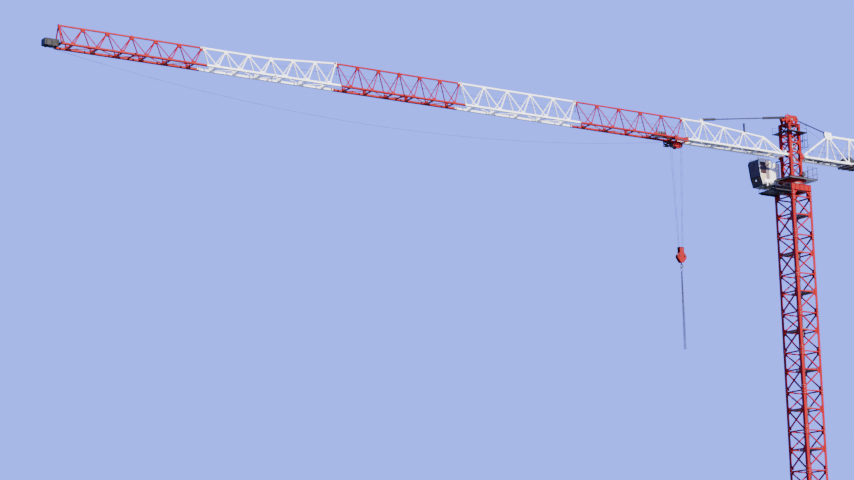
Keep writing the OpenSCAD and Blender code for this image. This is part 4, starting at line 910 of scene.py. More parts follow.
def cab_roof():
    """Roof with rim rods and ribs, and the work lamps."""
    roof, lamps = Mesh(), Mesh()
    roof.box((CAB_BACK + 60, CAB_FAR + 18, CAB_TOP), (CAB_FRONT - 76, CAB_NEAR - 18, CAB_TOP + 14), 0, 6)
    for y in (CAB_FAR + 22, CAB_NEAR - 22):
        roof.rod((CAB_BACK + 70, y, CAB_TOP + 14), (CAB_FRONT - 90, y, CAB_TOP + 14), 9, 12)
    for k in range(5):
        x = CAB_BACK + 130 + 95 * k
        roof.box((x, CAB_FAR + 50, CAB_TOP + 12), (x + 34, CAB_NEAR - 50, CAB_TOP + 20), 0, 4)
    roof.done("cab_roof", WHITE)
    x, z = CAB_FRONT - 62, CAB_TOP + 42
    for y in (CAB_MID_Y - 210, CAB_MID_Y + 210):
        lamps.bar((x - 14, y, CAB_TOP + 8), (x - 14, y, z - 22), 14, 8)
        lamps.lathe([(26, 0), (40, 14), (44, 40), (40, 44)], (x - 30, y, z + 14), (40, 0, -14))
        lamps.lathe([(39, 43), (34, 49), (14, 52)], (x - 30, y, z + 14), (40, 0, -14), 24, 1)
    at = front(175, CAB_MID_Y - 10, 6)
    lamps.lathe([(44, 0), (48, 4), (44, 12), (34, 14)], at, (30, 0, -12), 28, 2)
    lamps.lathe([(34, 13), (26, 18), (8, 20)], at, (30, 0, -12), 28, 1)
    lamps.done("cab_lamps", DARK, LAMP_CLEAR, WHITE)


def cab_floor():
    """Frame and ribs under the cab's floor."""
    part = Mesh()
    toe = CAB_FRONT - CAB_LEAN
    for x in (CAB_BACK + 40, CAB_BACK + 190, CAB_BACK + 340):
        part.box((x, CAB_FAR + 70, CAB_FLOOR - 34), (x + 30, CAB_NEAR - 70, CAB_FLOOR - 2), 0, 4)
    for y in (CAB_FAR + 40, CAB_MID_Y, CAB_NEAR - 40):
        part.box((CABINET_X + 40, y - 22, CAB_FLOOR - 60), (toe + 30, y + 22, CAB_FLOOR + 8), 0, 5)
    for x in (CABINET_X + 60, CAB_BACK - 20, toe - 20):
        part.box((x, CAB_FAR + 30, CAB_FLOOR - 58), (x + 44, CAB_NEAR - 30, CAB_FLOOR + 6), 0, 5)
    part.box((CAB_BACK, CAB_NEAR - 6, CAB_FLOOR - 40), (toe - 6, CAB_NEAR + 7, CAB_FLOOR + 34), 0, 3)
    part.done("cab_floor_ribs", DARK)


def cabinet_details():
    """Doors, hinges, vents, lid and cables of the control cabinet."""
    part = Mesh()
    y, low, high = CAB_FAR + 30, CAB_FLOOR + 30, CAB_TOP - 160
    mid = (low + high) / 2
    for x in (CABINET_X + 16, CABINET_X + 206):
        part.box((x, y - 8, low), (x + 180, y + 2, high), 0, 3)
        part.box((x + 150, y - 20, mid - 30), (x + 166, y - 8, mid + 30), 1, 4)
        for z in (low + 90, mid, high - 90):
            part.rod((x + 4, y - 12, z - 20), (x + 4, y - 12, z + 20), 7, 12, 1, 2)
        for i in range(7):
            z = low + 60 + 22 * i
            part.plate([(x + 34, y - 8, z), (x + 140, y - 8, z), (x + 140, y - 17, z + 12),
                        (x + 34, y - 17, z + 12)], (0, -1, -1), 3)
    top = CAB_TOP - 130
    part.box((CABINET_X - 8, y - 10, top), (CAB_BACK + 4, CAB_NEAR - 8, top + 16), 0, 5)
    part.done("cabinet_doors", WHITE, DARK)
    cables = Mesh()
    y = CAB_NEAR - 80
    for k in range(3):
        x = CABINET_X + 60 + 44 * k
        cables.tube([(x, y, top + 6), (x, y, top + 60), (x - 20, y + 60, top + 92),
                     (x - 60, y + 190, top + 96), (HEAD_W / 2 - 20, 30 - HEAD_W / 2, top + 80)], 11, 10)
    cables.done("cabinet_cables", RUBBER)


# Jib


def top_h(x):
    """Height of the jib's top chord above the bottom chords."""
    return float(np.interp(x, (JIB_ROOT, KNEE_X, TIE_X, INNER_X, TRANS_X),
                           (JIB_H_ROOT, JIB_H_KNEE, JIB_H_IN, JIB_H_IN, JIB_H_OUT)))


def top_pt(x):
    """Point on the top chord's centre line."""
    return Vector((x, 0, JIB_Z + top_h(x)))


def low_pt(x, s):
    """Point on the centre line of one bottom chord."""
    return Vector((x, s * JIB_W / 2, JIB_Z))


def end_plates(part, x, thick):
    """Plates at a section joint or splice: round the top chord, and inside and above each bottom chord."""
    top = JIB_Z + top_h(x + thick / 2)
    reach = TOP_W / 2 + 15
    part.box((x, -reach, top - reach), (x + thick, reach, top + reach), 0, 5)
    for s in SIDES:
        part.box((x, s * (JIB_W - CHORD_B - 32) / 2, JIB_Z - CHORD_B / 2),
                 (x + thick, s * (JIB_W + CHORD_B) / 2, JIB_Z + CHORD_B / 2 + 16), 0, 5)


def fork(part, root, out):
    """Fork cheeks with round ends at the root of the jib or the counter-jib."""
    for s in SIDES:
        for c in (-27, 27):
            y = s * (JIB_W if out > 0 else COUNTER_W) / 2 + c
            part.box((root, y - 9, JIB_Z - 34), (root + out * 130, y + 9, JIB_Z + 34), 0, 2)
            part.rod((root, y - 9, JIB_Z), (root, y + 9, JIB_Z), 34, 28, 0, 2)


def section_span(k):
    """Ends, number of bays and bay length of jib section k, counted from the tip."""
    x1 = JIB_TIP - (k - 1) * SECTION_L
    bays = 6 if k < 4 else 5
    return x1 - SECTION_L, x1, bays, SECTION_L / bays


def jib_section(k):
    """One section: slim top chord, bottom chords with running flanges, zigzag sides."""
    x0, x1, bays, pitch = section_span(k)
    start = x0 + 80 if k == 6 else x0
    part = Mesh()
    stops = [start + 4] + [x for x in (KNEE_X, TIE_X, TRANS_X) if x0 < x < x1] + [x1 - 4]
    for a, b in zip(stops, stops[1:]):
        part.bar(top_pt(a), top_pt(b), TOP_W, edge=5)
    for x in stops[1:-1]:
        knee = Vector((0, TOP_W / 2 + 2, 0))
        part.rod(top_pt(x) - knee, top_pt(x) + knee, TOP_W / 2 + 4, 24, 0, 2)
    for s in SIDES:
        part.bar(low_pt(start, s), low_pt(x1, s), CHORD_B, edge=5)
        part.box((x0 + 700 if k == 6 else x0, s * JIB_W / 2, JIB_Z - CHORD_B / 2),
                 (x1, s * (JIB_W / 2 + CHORD_B / 2 + 35), JIB_Z - CHORD_B / 2 + 12), 0, 2)
        for i in range(bays):
            first = max(x0 + i * pitch + (26 if i == 0 else 0), start + 20)
            last = x0 + (i + 1) * pitch - (26 if i == bays - 1 else 0)
            for x in (first, last):
                part.bar(top_pt(x), low_pt(x0 + (i + 0.5) * pitch, s), JIB_BAR, edge=4)
    crossings = [x0 + (i + 0.5) * pitch for i in range(bays)]
    for i, (a, b) in enumerate(zip(crossings, crossings[1:])):
        s = 1 if i % 2 == 0 else -1
        part.bar(low_pt(a, s), low_pt(b, -s), PLAN_BAR, edge=3)
    joints = [(x1 - 30, 30)] + ([(x0, 30)] if k < 6 else [])
    if k < 4:
        joints.append(((x0 + x1) / 2 - 30, 60))
        crossings.append((x0 + x1) / 2)
    for x, thick in joints:
        end_plates(part, x, thick)
    if k == 1:
        crossings.append(x1 - 23)
        for s in SIDES:
            part.bar(top_pt(x1 - 22), low_pt(x1 - 22, s), 40, edge=4)
    for x in crossings:
        part.bar(low_pt(x, -1), low_pt(x, 1), CROSS_BAR, edge=4)
    if k == 6:
        jib_foot(part)
    piece = part.done(f"jib_frame_{k}", RED if k % 2 else WHITE)
    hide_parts(f"jib_section_{k}")


def jib_foot(part):
    """Cross block and fork cheeks at the root, and the two cheeks that hold the tie's eye."""
    part.box((JIB_ROOT + 80, -JIB_W / 2, JIB_Z - 30), (JIB_ROOT + 140, JIB_W / 2, JIB_Z + 165), 0, 6)
    fork(part, JIB_ROOT, 1)
    z = JIB_Z + JIB_H_IN
    arc = np.linspace(0, math.pi, 9)
    eye = [(TIE_X + 62 * math.cos(a), z + TIE_LUG + 30 * math.sin(a)) for a in arc]
    for s in SIDES:
        part.upright(s * 30.5, [(TIE_X - 90, z), (TIE_X + 70, z)] + eye, 17)


def web_plate(part, x, s, at_top, width, depth, counter=False):
    """Node plate in the slanted plane of one side of the jib or counter-jib."""
    height, half_w, chord = (COUNTER_H, COUNTER_W / 2, CHORD_T) if counter else (top_h(x), JIB_W / 2, TOP_W)
    top, low = Vector((x, 0, JIB_Z + height)), Vector((x, s * half_w, JIB_Z))
    way = (low - top).normalized()
    along = Vector(X_AXIS)
    normal = along.cross(way)
    foot, off = (top, chord / 2 - 8) if at_top else (low, CHORD_B / 2 - 8)
    if not at_top:
        way = -way
    a, b = foot + way * off, foot + way * (off + depth)
    wide, narrow = along * width, along * width * 0.55
    part.plate([a - wide, a + wide, b + narrow, b - narrow], normal, 9 if counter else 8)


def flat_node(part, x, y, s, long=70, short=30):
    """Level node plate inside a bottom chord whose centre line is at y."""
    outer, inner = s * (y - 30), s * (y - 105)
    part.plate([(x - long, outer, JIB_Z), (x + long, outer, JIB_Z), (x + short, inner, JIB_Z),
                (x - short, inner, JIB_Z)], UP, 8)


def jib_details():
    """Node plates of every bay, lug pairs with pins at the section joints, and trolley stops."""
    pins, stops = Mesh(), Mesh()
    for k in range(1, 7):
        x0, x1, count, pitch = section_span(k)
        plates = Mesh()
        for s in SIDES:
            for i in range(count + 1):
                x = x0 + i * pitch
                edge = 46 if i == 0 else -46 if i == count else 0
                if x >= JIB_ROOT + 600:
                    web_plate(plates, x + edge, s, True, 60 if edge else 86, 92)
            for i in range(count):
                x = x0 + (i + 0.5) * pitch
                web_plate(plates, x, s, False, 92, 84)
                flat_node(plates, x, JIB_W / 2, s)
            z = JIB_Z + top_h(x1)
            if k > 1:
                lug = ((-95, -24), (95, -24), (95, 10), (60, 28), (-60, 28), (-95, 10))
                plates.upright(s * (TOP_W / 2 + 10), [(x1 + x, z + dz) for x, dz in lug], 9)
                plates.pad(x1, s * (JIB_W / 2 - 44), 80, 4.5, JIB_Z - 20, JIB_Z + 42)
                for x in (x1 - 42, x1 + 42):
                    pin(pins, (x, s * (JIB_W / 2 - 50), JIB_Z + 22), (0, -s, 0), 11, 26)
            if k < 4:
                x = (x0 + x1) / 2
                z = JIB_Z + top_h(x)
                plates.pad(x, s * (TOP_W / 2 + 5), 75, 4.5, z - 20, z + 20)
        if k > 1:
            for x in (x1 - 42, x1 + 42):
                pin(pins, (x, 0, JIB_Z + top_h(x1)), Y_AXIS, 12, TOP_W / 2 + 30)
        plates.done(f"jib_node_plates_{k}", RED if k % 2 else WHITE)
    pins.done("jib_joint_pins", BRIGHT)
    z = JIB_Z + CHORD_B / 2
    for s in SIDES:
        for x in (JIB_TIP - 68, JIB_ROOT + 922):
            stops.pad(x, s * (JIB_W / 2 + 1), 22, 21, z, z + 52, 0, 5)
    stops.done("trolley_end_stops", RUBBER)


def jib_tie_details():
    """Forged eyes' collars, splice plates, thick rod, couplings and pins of the ties."""
    part = Mesh()
    a, b = Vector((PIN_X, 0, PIN_Z)), Vector((TIE_X, 0, JIB_Z + JIB_H_IN + TIE_LUG))
    u = (b - a).normalized()
    for s in SIDES:
        side = Vector((0, s, 0))
        for at in (a + u * 960, b - u * 700):
            part.bar(at - u * 10 + side * 19, at + u * 90 + side * 19, 40, 10)
            for d in (10, 40, 70):
                part.hex_bolt(at + u * d + side * 24, side, 14, 7)
        for at, way, reach in ((a, 1, 1080), (b, -1, 720)):
            part.lathe([(34, 0), (34, 4), (28, 6)], at + side * 20, side, 32)
            part.bar(at + u * way * 60 + side * 27, at + u * way * reach + side * 27, 88, 12, 0, 4)
    part.bar(a + u * 1000, b - u * 660, 44, 44, 1, 10)
    for t in (0.34, 0.68):
        at = a.lerp(b, t)
        part.bar(at - u * 40, at + u * 40, 50, edge=6)
    part.done("jib_tie_splices", DARK, RUBBER)
    pins = Mesh()
    pin(pins, b, Y_AXIS, 20, 66)
    pin(pins, (FIRST_TOP + 190, 0, JIB_Z + COUNTER_H + 105), Y_AXIS, 20, 66)
    pins.done("tie_pins", BRIGHT)


def walkway_details():
    """Cross bars and long bars of the walkway's grating."""
    grate = Mesh()
    x0, x1 = JIB_ROOT + 540, WINCH_X - 10
    for x in np.arange(x0, x1, 30):
        grate.pad(x, 0, 2.5, 126, DECK_Z, DECK_Z + 4)
    for y in (-84, -42, 0, 42, 84):
        grate.box((x0, y - 2, DECK_Z), (x1, y + 2, DECK_Z + 6))
    grate.done("walkway_grating", ZINC)


def trolley_winch():
    """Trolley winch: bed plate, drum between cheeks with its rope, gearbox, finned motor and a post."""
    part = Mesh()
    x0, z0 = WINCH_X, DECK_Z
    axis = z0 + 110
    part.box((x0, -110, z0), (x0 + 440, 110, z0 + 16), 1, 4)
    for x in (x0 + 32, x0 + 222):
        cheek = [(x, y, z0 + z) for y, z in ((-100, 14), (100, 14), (60, 165), (-60, 165))]
        part.plate(cheek, X_AXIS, 16, 1)
    part.rod((x0 + 40, 0, axis), (x0 + 214, 0, axis), 68, 48, 0, 2)
    turns, steps, lead = 10, 18, 13
    rope = [(x0 + 56 + i * lead / steps, y, axis + z) for i, (y, z) in
            enumerate(around(steps, 73) * turns + [(73, 0)])]
    part.tube(rope, 5.5, 6, 3)
    for x in (x0 + 44, x0 + 204):
        part.torus((x, 0, axis), X_AXIS, 82, 7, 36, 8)
    part.box((x0 + 238, -62, z0 + 30), (x0 + 306, 62, z0 + 182), 2, 10)
    for y in (-48, 48):
        for z in (z0 + 46, z0 + 166):
            part.hex_bolt((x0 + 306, y, z), X_AXIS, 14, 8, 2)
    part.rod((x0 + 306, 0, axis), (x0 + 404, 0, axis), 50, 40, 2, 4)
    for y, z in around(14, 52):
        part.bar((x0 + 318, y, axis + z), (x0 + 392, y, axis + z), 8, 4, 2)
    part.box((x0 + 322, -40, z0 + 14), (x0 + 388, 40, z0 + 66), 1, 4)
    part.box((x0 + 402, -14, z0 + 14), (x0 + 430, 14, z0 + 376), 1, 4)
    part.upright(0, [(x0 + 404, z0 + 150), (x0 + 404, z0 + 16), (x0 + 340, z0 + 16)], 10, 1)
    piece = part.done("trolley_winch_unit", RED, DARK, STEEL, ROPE)
    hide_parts("trolley_winch")


def post_details():
    """Post with its foot clamp, brace and cap that holds the safety line over the jib's top chord."""
    part = Mesh()
    x, z = POST_X, JIB_Z + top_h(POST_X) + 24
    part.pad(x, 0, 58, 40, z - 8, z + 10, 0, 3)
    part.pad(x, 0, 30, 26, z + 10, z + POST_H, 0, 4)
    part.pad(x, 0, 38, 34, z + POST_H - 4, z + POST_H + 10, 0, 3)
    for s in SIDES:
        part.upright(0, [(x + s * 28, z + 8), (x + s * 56, z + 8), (x + s * 28, z + 110)], 10)
        for y in (-31, 31):
            part.hex_bolt((x + s * 46, y, z + 10), UP, 14, 8)
    part.done("jib_top_post", DARK)


def nose_details():
    """Rim and guards of the tail sheave, plate edges, bolts and the hoist rope's wedge anchor."""
    part, sheave = Mesh(), Mesh()
    x0, x1, low, high = JIB_TIP + 4, JIB_TIP + 476, JIB_Z - 56, JIB_Z + 146
    for s in SIDES:
        y = s * 140
        for a, b in (((x0, low), (x1, low)), ((x0, high), (x1, high)), ((x1, low), (x1, high))):
            part.bar((a[0], y, a[1]), (b[0], y, b[1]), 12, 8)
        for x in (JIB_TIP + 60, JIB_TIP + 240, JIB_TIP + 420):
            part.hex_bolt((x, y, JIB_Z + 100), (0, s, 0), 20, 10)
            part.plate([(x - 6, y, JIB_Z - 50), (x + 6, y, JIB_Z - 50), (x + 6, s * 152, JIB_Z + 60),
                        (x - 6, s * 152, JIB_Z + 60)], X_AXIS, 8)
    part.done("nose_edges", DARK)
    x = JIB_TIP + 240
    for dz in (-11, 11):
        sheave.torus((x, 0, JIB_Z - 32 + dz), UP, 66, 6, 40)
    sheave.lathe([(30, 0), (30, 6), (24, 10)], (x, 0, JIB_Z + 12), UP)
    x, z = JIB_TIP + 380, JIB_Z - 95
    sheave.lathe([(9, 0), (15, 10), (18, 34), (12, 40)], (x - 38, 0, z - 4), (38, 0, 4), 16)
    sheave.rod((x + 6, -30, z), (x + 6, 30, z), 8, 16, 0, 2)
    sheave.done("nose_sheave_rims", STEEL)


# Counter-jib


def counter_pt(x, s=0):
    """Point on the counter-jib's top chord, or on the bottom chord of side s."""
    return Vector((x, s * COUNTER_W / 2, JIB_Z + (0 if s else COUNTER_H)))


def counter_front():
    """Front part: a sloped top chord up to the first top node, posts and diagonals, and two bays behind."""
    part = Mesh()
    root, apex = -JIB_ROOT, counter_pt(COUNTER_APEX)
    foot = Vector((COUNTER_PORTAL, 0, JIB_Z + 190))
    z = JIB_Z + COUNTER_H
    gusset = ((-205, -70), (-150, 60), (-60, 130), (90, 160), (190, 150), (205, 40), (150, -120),
              (-130, -150))
    ear = ((-190, 60), (-190, 110), (-150, 148), (100, 148), (100, 60))
    fork(part, root, -1)
    for s in SIDES:
        part.bar(counter_pt(root - 80, s), counter_pt(COUNTER_JOINT, s), CHORD_B, edge=5)
        part.bar(counter_pt(COUNTER_PORTAL, s), foot, 50, edge=4)
        for x in (COUNTER_KNEE, COUNTER_FOOT):
            part.bar(counter_pt(x, s), apex, COUNTER_BAR, edge=4)
        for i in range(2):
            fore = COUNTER_FOOT - i * COUNTER_BAY - (34 if i == 0 else 0)
            back = COUNTER_FOOT - (i + 1) * COUNTER_BAY + (34 if i == 1 else 0)
            top = counter_pt(COUNTER_FOOT - (i + 0.5) * COUNTER_BAY)
            for x in (fore, back):
                part.bar(counter_pt(x, s), top, COUNTER_BAR, edge=4)
        part.upright(s * 46, [(COUNTER_APEX + x, z + dz) for x, dz in gusset], 14)
        part.upright(s * 33, [(FIRST_TOP + 70 - x, z + dz) for x, dz in ear], 18)
        part.box((COUNTER_JOINT, s * (COUNTER_W - CHORD_B - 30) / 2, JIB_Z - CHORD_B / 2),
                 (COUNTER_JOINT + 30, s * (COUNTER_W + CHORD_B + 30) / 2, JIB_Z + CHORD_B / 2 + 15), 0, 5)
    part.box((root - 140, -COUNTER_W / 2, JIB_Z - 30), (root - 80, COUNTER_W / 2, JIB_Z + 70), 0, 6)
    part.bar((root - 110, 0, JIB_Z + 50), foot, 50, edge=4)
    part.bar(foot, apex, 60, edge=5)
    part.bar(apex, counter_pt(COUNTER_JOINT), CHORD_T, edge=5)
    feet = (COUNTER_PORTAL, COUNTER_KNEE, COUNTER_FOOT, COUNTER_FOOT - COUNTER_BAY, COUNTER_JOINT)
    for x in (*feet[:-1], COUNTER_JOINT + 34):
        part.bar(counter_pt(x, -1), counter_pt(x, 1), CROSS_BAR, edge=4)
    for i, (a, b) in enumerate(zip(feet, feet[1:])):
        s = 1 if i % 2 == 0 else -1
        part.bar(counter_pt(a - 30, s), counter_pt(b + 30, -s), PLAN_BAR, edge=3)
    part.box((COUNTER_APEX - 130, -60, z - 60), (COUNTER_APEX + 110, 60, z + 62), 0, 8)
    reach = CHORD_T / 2 + 15
    part.pad(COUNTER_JOINT + 15, 0, 15, reach, z - reach, z + reach, 0, 5)
    piece = part.done("counter_frame_front", WHITE)
    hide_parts("counter_jib_front")


def counter_deck():
    """Grating between the bottom chords on angles, the winch's frame and a short walkway each side; the
    frame, the angles and the sheet under the grating carry near-black maroon as painted shade.
    """
    part = Mesh()
    y = COUNTER_W / 2 - CHORD_B / 2 - 30
    z = DECK_Z - 20
    x0, x1 = BALLAST_X0 + 120, -JIB_ROOT - 200
    part.box((x0, -y, z + 4), (x1, y, z + 20), 0, 2)
    # Painted shade: the sheet under the grating, the angles and the winch's frame take the near-black maroon
    # of the shaded underside.
    part.box((x0 + 6, 6 - y, z), (x1 - 6, y - 6, z + 4), 1, 1)
    for i in range(9):
        x = x0 + 300 + i * 700
        part.box((x, -y, z - 26), (x + 30, y, z + 1), 1, 2)
    aft, fore, high = HOIST_X - 540, HOIST_X + 280, JIB_Z - CHORD_B / 2
    low = high - 62
    for x in (aft + 30, aft + 410, fore - 30):
        part.pad(x, 0, 32, 330, low, high, 1, 4)
    part.box((aft + 10, -300, high - 14), (fore - 10, 300, high - 2), 1, 2)
    for s in SIDES:
        part.box((aft, s * 262, low), (fore, s * 322, high), 1, 4)
        part.box((aft, s * (COUNTER_W + CHORD_B) / 2, high), (aft + 630, s * 500, high + 20), 0, 2)
        for x in (aft + 30, aft + 410, aft + 605):
            part.pad(x, s * 405, 16, 85, high - 34, high, 1, 3)
    piece = part.done("counter_deck", ZINC, DECK_FRAME_PAINTED_SHADE)
    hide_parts("counter_jib_deck")


def counter_details():
    """Node plates, handrails and grating bars of the counter-jib, eyes and tie rods of its ballast."""
    plates, rails, deck, eyes = Mesh(), Mesh(), Mesh(), Mesh()
    half, z = COUNTER_W / 2, JIB_Z + COUNTER_H
    y, yd, low = half + CHORD_B / 2 + 10, half - CHORD_B / 2 - 34, JIB_Z + CHORD_B / 2 - 30
    for s in SIDES:
        for x in (COUNTER_KNEE, COUNTER_FOOT, COUNTER_FOOT - COUNTER_BAY, COUNTER_JOINT + 46,
                  COUNTER_JOINT - 46, COUNTER_JOINT - 900, COUNTER_JOINT - 1800):
            web_plate(plates, x, s, False, 88, 78, True)
            flat_node(plates, x, half, s, 66, 28)
        for x in (COUNTER_FOOT - COUNTER_BAY / 2, COUNTER_FOOT - COUNTER_BAY * 1.5, COUNTER_JOINT - 450,
                  COUNTER_JOINT - 1350, COUNTER_JOINT - 1800):
            web_plate(plates, x, s, True, 84, 86, True)
        plates.pad(COUNTER_JOINT, s * 52, 80, 4.5, z - 34, z + 34)
        for posts, out, foot, height in (((-640, -1480, -2300, -2900), y, low, 500),
                                         ((-2980, -3275, -3570), 488, JIB_Z - 15, 540),
                                         ((-3700, -4550, -5450, -6350, -6840), y, low, 500)):
            railing(rails, [(x, s * out) for x in posts], foot, height, post=8)
        for i in range(5):
            x = BALLAST_X0 - (i + 1) * 180 + 85
            eyes.tube([(x, s * 470 + 34 * math.cos(a), JIB_Z + CHORD_B / 2 + 154 + 58 * math.sin(a))
                       for a in np.linspace(0, math.pi, 13)], 9, 8)
        y_rod, z_rod = s * 420, JIB_Z - 420
        eyes.rod((BALLAST_X0 + 20, y_rod, z_rod), (COUNTER_END + 170, y_rod, z_rod), 12, 12)
        for x, out in ((BALLAST_X0 - 10, 1), (COUNTER_END + 190, -1)):
            eyes.hex_bolt((x, y_rod, z_rod), (out, 0, 0), 40, 18)
    plates.done("counter_jib_node_plates", WHITE)
    rails.done("counter_jib_handrails", DULL_ZINC)
    for x in np.arange(BALLAST_X0 + 140, -JIB_ROOT - 230, 40):
        if not HOIST_X - 340 < x < HOIST_X + 340:
            deck.pad(x, 0, 3, yd, DECK_Z, DECK_Z + 5)
    deck.done("counter_jib_grating", ZINC)
    eyes.done("ballast_eyes_and_tie_rods", STEEL)


def hoist_winch_details():
    """Rope wound on the drum, flange rims, motor fins, brake, gearbox bolts and a belt guard."""
    x, z, z0 = HOIST_X, JIB_Z + 212, DECK_Z
    rope, part = Mesh(), Mesh()
    turns, steps = 19, 28
    winding = enumerate(around(steps, 114.5) * turns + [(114.5, 0)])
    rope.tube([(x + c, -98 + i * 196 / (turns * steps), z + s) for i, (c, s) in winding], 5, 6)
    rope.done("hoist_drum_rope", ROPE)
    for s in SIDES:
        part.torus((x, s * 108, z), Y_AXIS, 140, 7, 56, 8)
        part.spokes((x, s * 118, z), 48, 132, 6, 16, 6)
    mx, mz = x + 300, z0 + 110
    for c, s in around(20, 71):
        part.bar((mx + c, -86, mz + s), (mx + c, 80, mz + s), 9, 5)
    part.lathe([(71, 0), (76, 4), (76, 26), (60, 40), (16, 46)], (mx, -88, mz), (0, -1, 0), 32)
    part.pad(mx, 0, 30, 50, mz + 66, mz + 100, 0, 6)
    bolts = [(bx, 92, 190, 22, 12) for bx in (x - 300, x - 210)]
    bolts += [(bx, 134, 24, 20, 11) for bx in (x - 310, x - 170, x + 170, x + 310)]
    for bx, by, bz, across, height in bolts:
        for s in SIDES:
            part.hex_bolt((bx, s * by, z0 + bz), UP, across, height)
    for k in range(3):
        part.box((x - 326, -90 + 70 * k, z0 + 44), (x - 318, -60 + 70 * k, z0 + 170), 0, 3)
    part.done("hoist_winch_details", STEEL)


# Trolley and hook


def trolley_frame():
    """Short open frame: side trusses with raised wheel ends, wheels, beams, sheaves with plates, and arm."""
    part = Mesh()
    tx, tz, h = TROLLEY_X, TROLLEY_Z, TROLLEY_HALF
    outline = ((-h, tz - 12), (-h, WHEEL_Z + 40), (130 - h, WHEEL_Z + 40), (185 - h, tz + 20),
               (h - 185, tz + 20), (h - 130, WHEEL_Z + 40), (h, WHEEL_Z + 40), (h, tz - 12))
    cheek = ((-235, -40), (235, -40), (235, -190), (180, -240), (85, -240), (60, -290), (-60, -290),
             (-85, -240), (-180, -240), (-235, -190))
    arm = ((205, tz - 52), (ARM_X, JIB_Z - 129), (ARM_X, JIB_Z - 161), (205, tz - 120))
    for s in SIDES:
        y = s * (SIDE_IN + 6)
        part.upright(y, [(tx + x, z) for x, z in outline], 12)
        part.bar((tx - 240, y, tz - 80), (tx + 240, y, tz - 80), 20, 12, 0, 2)
        for e in SIDES:
            part.bar((tx + e * (h - 8), y, tz - 6), (tx + e * 235, y, tz - 84), 24, 12, 0, 2)
            part.bar((tx + e * 120, y, tz - 84), (tx + e * 120, y, tz - 6), 30, 12, 0, 2)
            x = tx + e * WHEEL_OFF
            part.lathe([(38, 0), (45, 3), (45, 21), (38, 24)], (x, s * 340, WHEEL_Z), (0, -s, 0), 36, 2)
            part.rod((x, s * 316, WHEEL_Z), (x, s * (SIDE_IN + 22), WHEEL_Z), 14, 20, 2, 2)
            part.lathe([(30, 0), (30, 8), (24, 12)], (x, s * (SIDE_IN + 12), WHEEL_Z), (0, s, 0), 24, 2)
            part.hex_bolt((x, s * (SIDE_IN + 22), WHEEL_Z), (0, s, 0), 20, 9, 2)
            part.lathe([(14, 0), (14, 14), (10, 20)], (tx + e * h, y, WHEEL_Z + 20), (e, 0, 0), 16, 1)
        for x in (-200, -90, 90, 200):
            part.hex_bolt((tx + x, s * (SIDE_IN + 12), tz - 4), (0, s, 0), 17, 9, 2)
        part.upright(s * 105, [(tx + x, tz + z) for x, z in cheek], 18)
    for e in SIDES:
        part.pad(tx + e * 215, 0, 30, SIDE_IN, tz - 90, tz - 50, 0, 5)
        x = tx + e * SHEAVE_X
        part.rod((x, -125, SHEAVE_Z), (x, 125, SHEAVE_Z), 18, 24, 2, 3)
        for y in (-SHEAVE_Y - 13, SHEAVE_Y - 13):
            part.lathe([(58, 0), (SHEAVE_R - 2, 3), (SHEAVE_R - 0.5, 13), (SHEAVE_R - 2, 23), (58, 26)],
                       (x, y, SHEAVE_Z), Y_AXIS, 48, 2)
    part.upright(0, [(tx + x, z) for x, z in arm], 28, 1)
    piece = part.done("trolley_truck", RED, DARK, STEEL, body="trolley")
    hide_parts("trolley_frame")


def trolley_details():
    """Sheave rims and spokes, the rope over the sheaves and the service basket, which is painted near black
    as painted shade.
    """
    sheaves, rope, basket = Mesh(), Mesh(), Mesh()
    r = SHEAVE_R + ROPE_R + 0.3
    for x in (TROLLEY_X - SHEAVE_X, TROLLEY_X + SHEAVE_X):
        for y in (-SHEAVE_Y, SHEAVE_Y):
            for s in SIDES:
                sheaves.torus((x, y + s * 11, SHEAVE_Z), Y_AXIS, SHEAVE_R - 1, 7, 48, 8)
                sheaves.spokes((x, y + s * 13, SHEAVE_Z), 26, 102, 5, 11, 5, 0.3)
                sheaves.lathe([(30, 0), (30, 6), (24, 9)], (x, y + s * 12.5, SHEAVE_Z), (0, s, 0))
        pin(sheaves, (x, 0, SHEAVE_Z), Y_AXIS, 18, 128)
    sheaves.done("trolley_sheave_rims", STEEL, body="trolley")
    for y in (-SHEAVE_Y, SHEAVE_Y):
        rope.tube([(TROLLEY_X + off + r * math.cos(a), y, SHEAVE_Z + r * math.sin(a))
                   for off, first, last in ((-SHEAVE_X, math.pi, math.pi / 2), (SHEAVE_X, math.pi / 2, 0))
                   for a in np.linspace(first, last, 13)], ROPE_R, 8)
    rope.done("rope_over_trolley_sheaves", ROPE, body="trolley")
    # Painted shade: the basket on the trolley's far side takes the near-black dark paint where that side lies
    # in shade.
    x0, x1, y0, y1 = TROLLEY_X + 124, TROLLEY_X + TROLLEY_HALF - 9, 7 - SIDE_IN, -159
    z0, z1 = TROLLEY_Z - 172, TROLLEY_Z - 40
    for x in (x0, x1):
        for y in (y0, y1):
            basket.pad(x, y, 9, 9, z0, z1, 0, 2)
    for z in (z0 + 9, (z0 + z1) / 2, z1 - 9):
        for y in (y0, y1):
            basket.bar((x0, y, z), (x1, y, z), 16, edge=2)
        for x in (x0, x1):
            basket.bar((x, y0, z), (x, y1, z), 16, edge=2)
    basket.box((x0 - 9, y0 - 9, z0 - 8), (x1 + 9, y1 + 9, z0), 0, 2)
    for x in np.linspace(x0 - 9, x1 + 9, 10)[1:-1]:
        basket.rod((x, y0 - 6, z0), (x, y0 - 6, z1 - 10), 3, 6)
    basket.done("trolley_basket_painted_shade", DARK, body="trolley")


CHEEK = ((-105, 0), (105, 0), (98, -200), (212, -325), (212, -405), (75, -585), (-75, -585), (-212, -405),
         (-212, -325), (-98, -200))


